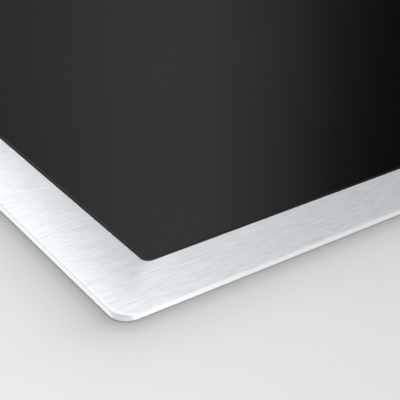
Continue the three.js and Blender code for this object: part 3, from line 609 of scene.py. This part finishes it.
def glass_bead():
    """Silicone bed under the glass, with its bead tooled flush between the glass and the frame's lip."""
    bed_low, bed_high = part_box("glass_bond")[0].z, GLASS_LOW.z - 0.1 * MM
    flush, shoulder = GLASS_HIGH.z - 0.03 * MM, GLASS_HIGH.z - 0.14 * MM
    lip_side, glass_side, bed_side = BAND + 0.02 * MM, BAND + 0.46 * MM, BAND + LEDGE_W
    profile = [(lip_side, bed_low), (bed_side - 1 * MM, bed_low), (bed_side - 1.3 * MM, bed_high),
               (glass_side, bed_high), (glass_side, shoulder), (BAND + 0.5 * MM, flush), (lip_side, flush)]
    verts, faces = framed(profile, lambda inset: corner_radius(inset) - 0.3 * MM)
    bead = mesh_object("silicone_bead", verts, faces, FINISH["bead"])
    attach(bead, "hob_body")
    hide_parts("glass_bond")


# ---- Printed marks ----

INK = 0.03 * MM
INK_Z = GLASS_HIGH.z + 0.005 * MM
BOLD = 0.5 * MM
FINE = 0.4 * MM


def ring_outline(ink, x, y, radius, width, start=0, sweep=360, steps=40):
    """A printed ring or part of one, of short plates that overlap a little."""
    inner, outer = radius - width / 2, radius + width / 2
    for i in range(steps):
        a, b = (math.radians(start + sweep * (i + k) / steps) for k in (0, 1.02))
        corners = [(inner, a), (outer, a), (outer, b), (inner, b)]
        ink.prism([(x + r * math.cos(t), y + r * math.sin(t)) for r, t in corners], INK_Z, INK_Z + INK)


def bar(ink, x, y, width, depth):
    ink.block((x - width / 2, y - depth / 2, INK_Z), (x + width / 2, y + depth / 2, INK_Z + INK))


def zone_marks():
    """A fine cross and ring at the middle of each cooking zone."""
    ink = Solid()
    reach, arm = 8.5 * MM, 8 * MM
    for zone in ZONES:
        x, y, _ = middle(f"temp_sensor_{zone}")
        for side in (-1, 1):
            bar(ink, x + side * reach, y, arm, BOLD)
            bar(ink, x, y + side * reach, BOLD, arm)
        ring_outline(ink, x, y, 2.6 * MM, 0.45 * MM)
    ink.piece("zone_marks", FINISH["print"], "hob_body", "white_plastic")


def digit(ink, x, y, size, segments):
    """A plain seven-segment digit: segments are a to g."""
    w, h, t = size * 0.5, size, 0.35 * MM
    places = {"a": (0, h / 2, w, t), "g": (0, 0, w, t), "d": (0, -h / 2, w, t),
              "f": (-w / 2, h / 4, t, h / 2), "b": (w / 2, h / 4, t, h / 2),
              "e": (-w / 2, -h / 4, t, h / 2), "c": (w / 2, -h / 4, t, h / 2)}
    for name in segments:
        dx, dy, width, depth = places[name]
        bar(ink, x + dx, y + dy, width, depth)


DIGITS = ["abcdef", "bc", "abged", "abgcd", "fgbc", "afgcd", "afgecd", "abc", "abcdefg", "abfgcd"]


def power_key(ink, x, y):
    """A broken ring with a bar through its gap."""
    ring_outline(ink, x, y, 4 * MM, BOLD, start=120, sweep=300)
    bar(ink, x, y + 3.4 * MM, BOLD, 4 * MM)


def zone_key(ink, x, y, chosen):
    """Four rings for the four zones, with the chosen one filled."""
    for corner in range(4):
        dx, dy = (corner % 2 * 2 - 1) * 2.4 * MM, (corner // 2 * 2 - 1) * 2.4 * MM
        radius, width = (0.55, 1.1) if corner == chosen else (1.2, 0.35)
        ring_outline(ink, x + dx, y + dy, radius * MM, width * MM, steps=20)


def slider(ink, x, y):
    """A rule with ten numbered ticks."""
    pitch = 10 * MM
    for step, segments in enumerate(DIGITS):
        bar(ink, x + step * pitch, y - 3.2 * MM, FINE, 2.2 * MM)
        digit(ink, x + step * pitch, y + 2 * MM, 3.2 * MM, segments)
    bar(ink, x + 4.5 * pitch, y - 4.6 * MM, 9 * pitch, FINE)


def step_key(ink, x, y, plus):
    """A ring round a minus or a plus."""
    stroke = 3.6 * MM
    ring_outline(ink, x, y, 4 * MM, FINE)
    bar(ink, x, y, stroke, BOLD)
    if plus:
        bar(ink, x, y, BOLD, stroke)


def timer_key(ink, x, y):
    """A clock's face with two hands."""
    ring_outline(ink, x, y, 3.6 * MM, FINE)
    bar(ink, x, y + 1.2 * MM, FINE, 2.4 * MM)
    bar(ink, x + 0.9 * MM, y, 1.8 * MM, FINE)


def lock_key(ink, x, y):
    """A padlock's outline: its body and its bow."""
    width, high, low, side = 5 * MM, 1.2 * MM, -2.4 * MM, 2.3 * MM
    for dy in (high, low):
        bar(ink, x, y + dy, width, FINE)
    for dx in (-side, side):
        bar(ink, x + dx, y + (high + low) / 2, FINE, high - low)
    ring_outline(ink, x, y + 1.3 * MM, 1.6 * MM, FINE, start=0, sweep=180, steps=20)


def touch_marks():
    """Keypad print, from left to right over the keypad's board."""
    ink = Solid()
    left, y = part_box("touch_board")[0].x + 22 * MM, middle("touch_board").y
    power_key(ink, left, y)
    for key in range(4):
        zone_key(ink, left + (26 + 17 * key) * MM, y, key)
    slider(ink, left + 98 * MM, y)
    step_key(ink, left + 204 * MM, y, plus=False)
    step_key(ink, left + 224 * MM, y, plus=True)
    timer_key(ink, left + 244 * MM, y)
    lock_key(ink, left + 262 * MM, y)
    ink.piece("touch_marks", FINISH["print"], "hob_body", "white_plastic")


# ---- Casing ----


def circle(radius, steps=24):
    return arc(0, 0, radius, 0, 360, steps)[:-1]


def add_plate(solid, outline, hole, bottom, top, place, top_outline=None):
    """A flat plate with one hole, whose sides may lean in towards a second outline at the top."""
    shape = solid.shape
    loops = []
    for z, border in ((bottom, outline), (top, top_outline or outline)):
        outer, inner = ([shape.verts.new(place @ Vector((x, y, z))) for x, y in points]
                        for points in (border, hole))
        edges = [shape.edges.new((loop[i], loop[(i + 1) % len(loop)])) for loop in (outer, inner)
                 for i in range(len(loop))]
        bmesh.ops.triangle_fill(shape, use_beauty=True, edges=edges)
        loops.append((outer, inner))
    for low, high in zip(*loops):
        for i in range(len(low)):
            j = (i + 1) % len(low)
            shape.faces.new((low[i], low[j], high[j], high[i]))


def cross(reach, half):
    """Outline of a cross recess."""
    quarter = [(reach, -half), (reach, half), (half, half)]
    turned = []
    for k in range(4):
        c, s = round(math.cos(k * math.pi / 2)), round(math.sin(k * math.pi / 2))
        turned += [(c * x - s * y, s * x + c * y) for x, y in quarter]
    return turned


def pan_head(solid, place, radius, height):
    """A screw head with a cross recess, standing up along its place's Z axis."""
    floor, edge = 0.45 * height, 0.35 * height
    solid.lathe([(0, floor), (0.97 * radius, floor), (radius, edge), (radius, 0), (0, 0)], place, 24)
    recess = cross(0.5 * radius, 0.12 * radius)
    add_plate(solid, circle(0.98 * radius), recess, 0.4 * height, height, place, circle(0.72 * radius))


def casing_details():
    """Screws and pressed stiffening beads on the casing's walls."""
    wall_x, wall_y = CASING_W / 2, CASING_D / 2
    screw_z, bead_z, bead_r = 39 * MM, 20 * MM, 3 * MM
    screws, beads = Solid(), Solid()
    for side in (-1, 1):
        for y in (-205, -68, 68, 205):
            spot = at(side * wall_x, y * MM, screw_z, (side * math.pi / 2, "Y"))
            pan_head(screws, spot, 3.4 * MM, 1.8 * MM)
        # The cord's inlet takes the place of one screw in the rear wall.
        for x in (-238, -30, 30, 238) if side < 0 else (-30, 30, 238):
            spot = at(x * MM, side * wall_y, screw_z, (-side * math.pi / 2, "X"))
            pan_head(screws, spot, 3.4 * MM, 1.8 * MM)
        # A bead's outline is drawn in Y and Z, then turned to stand out from the side wall.
        place = Matrix(((0, 0, side, 0), (1, 0, 0, 0), (0, 1, 0, 0), (0, 0, 0, 1)))
        for front, back in ((-92, -8), (8, 92)):
            stadium = arc(front * MM, bead_z, bead_r, 90, 270, 8) + arc(back * MM, bead_z, bead_r, -90, 90, 8)
            beads.prism(stadium, wall_x - 0.3 * MM, wall_x + 0.8 * MM, 0.6 * MM, place)
    screws.piece("casing_screws", FINISH["zinc"], "hob_body", "zinc")
    beads.piece("casing_beads", FINISH["galvanised"], "hob_body", "galvanised", crease=50)


# ---- Clamps ----


THREAD_R, THREAD_ROOT, THREAD_PITCH = 2 * MM, 1.55 * MM, 0.7 * MM


def clamp_screw(corner):
    """Cross-recessed screw that hangs head down, with its thread."""
    node = f"clamp_screw_{corner}"
    low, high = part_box(node)
    x, y, _ = middle(node)
    head_r = (high.x - low.x) / 2
    head_top, floor = low.z + 3 * MM, low.z + 1.2 * MM
    screw = Solid()
    add_plate(screw, circle(0.72 * head_r), cross(0.5 * head_r, 0.12 * head_r), low.z, low.z + 1.25 * MM,
              at(x, y, 0), circle(0.97 * head_r))
    profile = [(0, floor), (0.96 * head_r, floor), (head_r, low.z + 1.4 * MM), (head_r, head_top - 0.2 * MM),
               (head_r - 0.2 * MM, head_top), (THREAD_R, head_top)]
    z = head_top + 5 * MM
    profile += [(THREAD_R, z)]
    while z + THREAD_PITCH < high.z - 0.6 * MM:
        profile += [(THREAD_ROOT, z + THREAD_PITCH * 0.3), (THREAD_R, z + THREAD_PITCH * 0.85),
                    (THREAD_R, z + THREAD_PITCH)]
        z += THREAD_PITCH
    profile += [(1.4 * MM, high.z), (0, high.z)]
    screw.lathe(profile, at(x, y, 0), 24)
    screw.piece(f"screw_{corner}", FINISH["chromate"], node, "zinc", node, crease=40)


def clamp_washer(corner):
    """Plain washer with bevelled edges."""
    node = f"clamp_washer_{corner}"
    low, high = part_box(node)
    x, y, _ = middle(f"clamp_screw_{corner}")
    r, bevel, bore = (high.x - low.x) / 2, 0.2 * MM, 2.3 * MM
    ring = [(bore, low.z), (r - bevel, low.z), (r, low.z + bevel), (r, high.z - bevel), (r - bevel, high.z),
            (bore, high.z)]
    Solid().lathe(ring, at(x, y, 0), 40).piece(f"washer_{corner}", FINISH["chromate"], node, "zinc", node)


def clamp_arm(corner):
    """Ribbed arm, with a toothed end that grips the worktop from below."""
    node = f"clamp_arm_{corner}"
    low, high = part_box(node)
    x, y, _ = middle(f"clamp_screw_{corner}")
    half, length, t = (high.x - low.x) / 2, 42 * MM, 2 * MM
    place = at(x, y, 0, (math.pi if corner.startswith("rear") else 0, "Z"))
    arm = Solid()
    outline = arc(0, 0, half, 180, 360, 20) + [(half, length - t), (-half, length - t)]
    add_plate(arm, outline, circle(2.4 * MM), low.z, low.z + t, place)
    rib = arc(0, 12 * MM, 1.6 * MM, 180, 360, 8) + arc(0, length - 9 * MM, 1.6 * MM, 0, 180, 8)
    arm.prism(rib, low.z + t - 0.2 * MM, low.z + t + 0.8 * MM, 0.5 * MM, place)
    tooth, root = half / 6, high.z - 0.9 * MM
    teeth = [(-half, low.z), (half, low.z), (half, root)]
    for i in range(6):
        right = half - 2 * tooth * i
        teeth += [(right - tooth, high.z), (right - 2 * tooth, root)]
    stand = place @ Matrix(((1, 0, 0, 0), (0, 0, 1, length - t), (0, 1, 0, 0), (0, 0, 0, 1)))
    arm.prism(teeth, 0, t, 0, stand)
    arm.piece(f"arm_{corner}", FINISH["galvanised"], node, "galvanised", node)


# ---- Mains terminals ----


def cover_ribs():
    """Gripping ribs on the terminal cover's face."""
    low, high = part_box("terminal_cover")
    face_y = low.y + 4.6 * MM
    cover = Solid()
    for i in range(7):
        x = low.x + 10 * MM + i * (high.x - low.x - 20 * MM) / 6
        cover.block((x - 0.7 * MM, face_y - 0.4 * MM, low.z + 8 * MM),
                    (x + 0.7 * MM, face_y + 0.7 * MM, high.z - 5 * MM), 0.3 * MM)
    cover.piece("terminal_cover_ribs", FINISH["black"], "terminal_cover", "black_plastic")


def terminal_screws():
    """Screws in the terminal block, and in the bar that clamps the cord."""
    low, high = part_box("terminal_block")
    screws = Solid()
    pitch = (high.x - low.x) / 6
    for i in range(6):
        x = low.x + (i + 0.5) * pitch
        for y in (low.y + 5 * MM, high.y - 5 * MM):
            pan_head(screws, at(x, y, high.z), 2.3 * MM, 0.9 * MM)
    low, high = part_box("cable_clamp_bar")
    for x in (low.x + 1.9 * MM, high.x - 1.9 * MM):
        pan_head(screws, at(x, (low.y + high.y) / 2, high.z), 1.8 * MM, 1.3 * MM)
    screws.piece("terminal_screws", FINISH["zinc"], "hob_body", "zinc")


def inlet_grommet():
    """Rubber grommet with a groove that grips the rear wall."""
    low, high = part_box("cable_grommet")
    x, _, z = middle("cable_grommet")
    r = (high.x - low.x) / 2
    groove_in, groove_out, bore = CASING_D / 2 - 0.8 * MM, CASING_D / 2 + 0.1 * MM, 5.6 * MM
    groove = 7.8 * MM
    profile = [(bore, low.y), (r - 0.8 * MM, low.y), (r, low.y + 0.8 * MM), (r, groove_in),
               (groove, groove_in), (groove, groove_out), (r, groove_out),
               (r - 0.1 * MM, groove_out + 1.2 * MM),
               (r - 0.7 * MM, groove_out + 1.9 * MM), (r - 1.8 * MM, high.y - 0.1 * MM),
               (bore + 0.3 * MM, high.y), (bore, high.y - 0.3 * MM)]
    Solid().lathe(profile, at(x, 0, z, (-math.pi / 2, "X")), 56).piece(
        "inlet_grommet", FINISH["rubber"], "hob_body", "silicone", "cable_grommet", crease=45)


# ---- Windings ----


def winding(zone):
    """Flat spiral of twisted litz wire, and the ferrite bars in the channels under it."""
    side = "left" if zone.endswith("left") else "right"
    low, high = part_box(f"coil_winding_{zone}")
    x, y, mid = middle(f"coil_winding_{zone}")
    outer = (high.x - low.x) / 2
    bore, pitch = 21 * MM, 3.2 * MM
    turns = (outer - bore) / pitch - 0.55
    steps = int(turns * 40)
    start = bore + pitch * 0.5
    path = []
    for i in range(steps + 1):
        angle = 2 * math.pi * turns * i / steps
        radius = start + pitch * angle / (2 * math.pi)
        path.append((x + radius * math.cos(angle), y + radius * math.sin(angle), mid))
    wire = Solid().tube(path, pitch * 0.95, (high.z - low.z) * 0.98, 8)
    wire.piece(f"litz_spiral_{zone}", FINISH["copper"], f"coils_{side}", "copper", f"coil_winding_{zone}")

    low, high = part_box(f"coil_former_{zone}")
    bars = Solid()
    for i in range(8):
        bars.block((x + bore + 4 * MM, y - 4 * MM, low.z + 0.05 * MM),
                   (x + outer - 4 * MM, y + 4 * MM, low.z + 1.25 * MM), 0.25 * MM,
                   (i + 0.5) * math.pi / 4, (x, y, 0))
    bars.piece(f"ferrite_bars_{zone}", FINISH["ferrite"], f"coils_{side}", "former")


def plate_spring(side, name):
    """Compression spring with closed ends."""
    node = f"plate_spring_{side}_{name}"
    low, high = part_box(node)
    wire, height = 0.65 * MM, high.z - low.z
    x, y, radius = (low.x + high.x) / 2, (low.y + high.y) / 2, (high.x - low.x) / 2 - wire
    closed, open_turns, per_turn = 0.9, 3.6, 20
    turns = 2 * closed + open_turns
    flat_rise = 2.05 * wire * closed
    path = []
    for i in range(int(turns * per_turn) + 1):
        turn = i / per_turn
        if turn < closed:
            rise = flat_rise * turn / closed
        elif turn > turns - closed:
            rise = height - 2 * wire - flat_rise * (turns - turn) / closed
        else:
            rise = flat_rise + (height - 2 * wire - 2 * flat_rise) * (turn - closed) / open_turns
        angle = 2 * math.pi * turn
        path.append((x + radius * math.cos(angle), y + radius * math.sin(angle), low.z + wire + rise))
    coil = Solid().tube(path, 2 * wire, 2 * wire, 8)
    coil = coil.piece(f"coil_spring_{side}_{name}", FINISH["spring"], "hob_body", "spring_steel", node)
    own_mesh(coil)


# ---- Electronics ----


def power_board(side, sign):
    """Board with its capacitors, relays, choke and chips as parts of their own."""
    low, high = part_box(f"power_board_{side}")
    top = low.z + 1.6 * MM

    def across(first, second):
        return sorted((sign * first * MM, sign * second * MM))

    plate = Solid().block(low, (high.x, high.y, top), 0.2 * MM)
    plate.piece(f"power_board_{side}_plate", FINISH["board"], "hob_body", "circuit_board",
                f"power_board_{side}")
    cans, caps, relays, chips, wire = Solid(), Solid(), Solid(), Solid(), Solid()
    for y in (-110, -60, -10):
        x0, x1 = across(150, 182)
        caps.block((x0, y * MM, top), (x1, (y + 24) * MM, 27 * MM), 1.2 * MM)
        x0, x1 = across(76, 98)
        chips.block((x0, (y - 10) * MM, top), (x1, (y + 12) * MM, 13.6 * MM), 0.4 * MM)
    for y in (-100, -50):
        x0, x1 = across(198, 218)
        relays.block((x0, y * MM, top), (x1, (y + 28) * MM, 25 * MM), 0.8 * MM)
    for x, y in ((128, -128), (128, -100), (205, 20), (205, 46), (130, 5), (92, 66)):
        cans.lathe([(0, top), (5.4 * MM, top), (5.6 * MM, top + 1 * MM), (5.2 * MM, top + 1.8 * MM),
                    (5.6 * MM, top + 2.6 * MM), (5.6 * MM, top + 13.5 * MM), (5.0 * MM, top + 14.2 * MM),
                    (4.2 * MM, top + 14 * MM), (0, top + 14 * MM)], at(sign * x * MM, y * MM, 0), 28)
    choke(wire, sign * 110 * MM, 45 * MM, top, 17 * MM, 14 * MM)
    caps.piece(f"film_capacitors_{side}", FINISH["film"], "hob_body", "white_plastic")
    relays.piece(f"relays_{side}", FINISH["relay"], "hob_body", "black_plastic")
    chips.piece(f"power_chips_{side}", FINISH["black"], "hob_body", "black_plastic")
    cans.piece(f"electrolytics_{side}", FINISH["sleeve"], "hob_body", "black_plastic")
    wire.piece(f"choke_{side}", FINISH["copper"], "hob_body", "copper")


def choke(solid, x, y, bottom, radius, height):
    """Toroid wound with wire: one ring for each turn round a flat core."""
    core_r, wire = radius * 0.68, 1.6 * MM
    count = 26
    mid = bottom + height / 2 + 0.4 * MM
    for i in range(count):
        turn = 2 * math.pi * i / count
        place = at(x + core_r * math.cos(turn), y + core_r * math.sin(turn), mid, (turn, "Z"))
        loop = [(wire / 2 * math.cos(t), wire / 2 * math.sin(t)) for t in (k * math.pi / 3 for k in range(6))]
        half_w, half_h, r = radius * 0.31, height / 2, 2.4 * MM
        path = corner_loop(half_w, half_h, r, 3)
        rings = []
        for px, pz in path:
            outward = Vector((px, 0, pz)).normalized()
            points = (Vector((px, 0, pz)) + outward * a + Vector((0, b, 0)) for a, b in loop)
            rings.append([solid.shape.verts.new(place @ point) for point in points])
        for k, here in enumerate(rings):
            there = rings[(k + 1) % len(rings)]
            for m in range(6):
                solid.shape.faces.new((here[m], here[(m + 1) % 6], there[(m + 1) % 6], there[m]))


def filter_board():
    """Mains filter: its board on four posts, with two chokes and three capacitors."""
    low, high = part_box("filter_board")
    top = 10.6 * MM
    plate = Solid().block((low.x, low.y, 9 * MM), (high.x, high.y, top), 0.2 * MM)
    for x in (low.x + 8 * MM, high.x - 8 * MM):
        for y in (low.y + 8 * MM, high.y - 8 * MM):
            plate.lathe([(0, low.z), (3.5 * MM, low.z), (3.5 * MM, 9 * MM), (0, 9 * MM)], at(x, y, 0), 20)
    plate.piece("filter_board_plate", FINISH["board"], "hob_body", "circuit_board", "filter_board")
    wire, blocks = Solid(), Solid()
    for y in (135, 180):
        choke(wire, 140 * MM, y * MM, top, 14 * MM, 13 * MM)
    for y in (115, 150, 185):
        blocks.block((172 * MM, y * MM, top), (206 * MM, (y + 18) * MM, 26 * MM), 1 * MM)
    wire.piece("filter_chokes", FINISH["copper"], "hob_body", "copper")
    blocks.piece("filter_capacitors", FINISH["film"], "hob_body", "white_plastic")


def board_screws():
    """Screws that hold the boards down on their standoffs and the blower's cover on its housing."""
    screws = Solid()
    for sign in (-1, 1):
        for y in (-138, 74):
            pan_head(screws, at(sign * 214 * MM, y * MM, 10.6 * MM), 2.8 * MM, 1.6 * MM)
    for x, y in ((38, 176), (-50, 172), (-53, 98), (36, 97)):
        pan_head(screws, at(x * MM, y * MM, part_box("blower_cover")[1].z), 2.4 * MM, 0.9 * MM)
    screws.piece("board_screws", FINISH["zinc"], "hob_body", "zinc")


# ---- Finishes of the CAD nodes that keep their shape ----

CAD_FINISHES = {
    "worktop_seal": "foam", "casing_tray": "galvanised", "coil_plate": "aluminium", "board_carrier": "black",
    "heat_sink": "aluminium", "plate_spring": "spring", "coil_former": "former", "mica_disc": "mica",
    "temp_sensor": "white", "touch_board": "board", "touch_carrier": "black", "ribbon_cable": "white",
    "blower_housing": "black", "blower_cover": "black", "blower_motor": "zinc", "blower_rotor": "black",
    "terminal_housing": "white", "terminal_block": "white", "terminal_cover": "black",
    "cable_clamp_bar": "white",
    "trim_frame": "stainless", "glass_panel": "glass", "glass_bond": "bead", "coil_winding": "copper",
    "power_board": "board", "filter_board": "board", "cable_grommet": "rubber", "clamp_screw": "zinc",
    "clamp_washer": "zinc", "clamp_arm": "galvanised",
}


def finish_cad_nodes():
    """Gives each CAD node the finish that its name stands for."""
    for name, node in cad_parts.items():
        kind = next(kind for kind in CAD_FINISHES if name.startswith(kind))
        node.data.materials.clear()
        node.data.materials.append(FINISH[CAD_FINISHES[kind]])


# ---- Stage, light and camera ----

CORNER = Vector((FRAME_LOW.x, FRAME_LOW.y, WORKTOP_Z))
VIEW_AZIMUTH = math.radians(-34.66)

# Brightness round the studio, in degrees right of the camera's direction, then by height in
# degrees for the dim card, then overhead from left to right.
RAMP_TOP = 6
CARD = [(-180, 2.4), (-92, 1.7), (-76, 2.6), (-62, 5.2), (-30, 3.0), (-13, 0.62), (-3.5, 0.97), (0, 0.97),
        (4.7, 0.62), (8.2, 0.26), (11, 0.10), (30, 0.08), (70, 2.0), (110, 2.8), (180, 2.4)]
CARD_RISE = [(0, 0.15), (19, 0.185), (27, 0.318), (38, 0.55), (90, 0.6)]
LOW = [(-180, 0.5), (-100, 0.45), (-90, 3.5), (-66, 3.5), (-55, 0.8), (-30, 0.4), (-15, 0.14), (15, 0.05),
       (40, 0.3), (70, 0.5), (180, 0.5)]
ABOVE = [(-1, 1.3), (-0.3, 1.2), (0.1, 1.45), (0.2, 2.55), (0.3, 4.6), (0.39, 4.35), (0.415, 0.9),
         (0.44, 0.1), (0.5, 0.2), (0.54, 1.75), (0.6, 2.0), (0.7, 1.5), (1, 0.4)]
ABOVE_BACK = [(-1, 0.95), (-0.7, 0.88), (-0.5, 0.9), (-0.15, 0.46), (0.2, 0.5), (0.5, 0.95), (1, 1.1)]


def stage(material):
    """The floor that the casing stands on, and a corner of worktop round the frame's corner."""
    size = 6
    floor = mesh_object("floor", [(-size, -size, 0), (size, -size, 0), (size, size, 0), (-size, size, 0)],
                        [(0, 1, 2, 3)], material)
    cut_x, cut_y = CORNER.x + 8 * MM, CORNER.y + 13 * MM
    left, front = CORNER.x - 42 * MM, CORNER.y - 60 * MM
    right, back = CORNER.x + 83 * MM, CORNER.y + 60 * MM
    outline = [(left, front), (right, front), (right, cut_y), (cut_x, cut_y), (cut_x, back), (left, back)]
    low, high = 0.1 * MM, WORKTOP_Z
    verts = [(x, y, low) for x, y in outline] + [(x, y, high) for x, y in outline]
    n = len(outline)
    faces = [tuple(range(n)), tuple(range(n, 2 * n))]
    faces += [(i, (i + 1) % n, n + (i + 1) % n, n + i) for i in range(n)]
    block = mesh_object("worktop_corner", verts, faces, material)


def lighting():
    """A studio of soft walls: bright to the left, a dim card ahead of the camera, bright above."""
    world = bpy.data.worlds.new("studio")
    bpy.context.scene.world = world
    world.use_nodes = True
    w = Nodes(world.node_tree)
    where = w.add("ShaderNodeTexCoord").outputs["Generated"]

    def towards(x, y, z):
        return w.vector("DOT_PRODUCT", where, (x, y, z))

    def brightness(value, stops, top=1):
        return w.ramp(value, [(position, grey(level / top)) for position, level in stops])

    turn = w.add("ShaderNodeMath", operation="ARCTAN2")
    w.link(towards(math.cos(VIEW_AZIMUTH), math.sin(VIEW_AZIMUTH), 0), turn.inputs[0])
    w.link(towards(-math.sin(VIEW_AZIMUTH), math.cos(VIEW_AZIMUTH), 0), turn.inputs[1])
    beside = w.spread(turn.outputs[0], from_low=-math.pi, from_high=math.pi)
    rise = towards(0, 0, 1)
    card = brightness(beside, [(0.5 + degrees / 360, level) for degrees, level in CARD], RAMP_TOP)
    faint = brightness(w.spread(rise), [(math.sin(math.radians(d)), level) for d, level in CARD_RISE])
    to_right, to_back = (w.spread(towards(*axis), from_low=-1) for axis in ((1, 0, 0), (0, 1, 0)))
    above = w.vector("MULTIPLY", brightness(to_right, [(0.5 + x / 2, level) for x, level in ABOVE], RAMP_TOP),
                     brightness(to_back, [(0.5 + y / 2, level) for y, level in ABOVE_BACK]))
    low = brightness(beside, [(0.5 + degrees / 360, level) for degrees, level in LOW], RAMP_TOP)
    card_low, card_high = math.sin(math.radians(13)), math.sin(math.radians(19))
    walls = w.mix(w.spread(rise, 0, 1, card_low, card_high, "SMOOTHSTEP"), low,
                  w.vector("MULTIPLY", card, faint))
    overhead = w.spread(towards(0, -0.15, 1), 0, 1, 0.461, 0.605, "SMOOTHSTEP")
    background = w.tree.nodes["Background"]
    w.link(w.mix(overhead, walls, above), background.inputs["Color"])
    background.inputs["Strength"].default_value = RAMP_TOP
    # The camera itself sees a plain pale wall.
    wall = w.add("ShaderNodeBackground", {"Color": (0.78, 0.78, 0.78, 1), "Strength": 1.0})
    seen = w.add("ShaderNodeMixShader")
    w.link(w.add("ShaderNodeLightPath").outputs["Is Camera Ray"], seen.inputs["Fac"])
    w.link(background.outputs[0], seen.inputs[1])
    w.link(wall.outputs[0], seen.inputs[2])
    w.link(seen.outputs[0], w.tree.nodes["World Output"].inputs["Surface"])


def camera():
    """Close above the front left corner, looking down across it towards the back right."""
    aim = CORNER + Vector((38.21, 29.46, 0.35)) * MM
    azimuth, elevation, distance = VIEW_AZIMUTH, math.radians(29.98), 226.4 * MM
    away = Vector((math.sin(azimuth) * math.cos(elevation), -math.cos(azimuth) * math.cos(elevation),
                   math.sin(elevation)))
    lens = bpy.data.cameras.new("camera")
    lens.lens = 91.94
    lens.sensor_width = 36
    lens.clip_start = 0.01
    eye = bpy.data.objects.new("camera", lens)
    eye.location = aim + away * distance
    eye.rotation_euler = away.to_track_quat("Z", "Y").to_euler()
    bpy.context.scene.collection.objects.link(eye)
    bpy.context.scene.camera = eye


# ---- Making the scene ----

camera()
bpy.context.scene.view_settings.view_transform = "Standard"
FINISH = make_materials()
finish_cad_nodes()
trim_frame()
glass_top()
glass_bead()
zone_marks()
touch_marks()
casing_details()
for corner in CLAMPS:
    clamp_screw(corner)
    clamp_washer(corner)
    clamp_arm(corner)
cover_ribs()
terminal_screws()
inlet_grommet()
for zone in ZONES:
    winding(zone)
for side, sign in (("left", -1), ("right", 1)):
    power_board(side, sign)
    for name in ("front", "outer", "inner"):
        plate_spring(side, name)
filter_board()
board_screws()
stage(pale_worktop())
lighting()

bpy.context.view_layer.update()
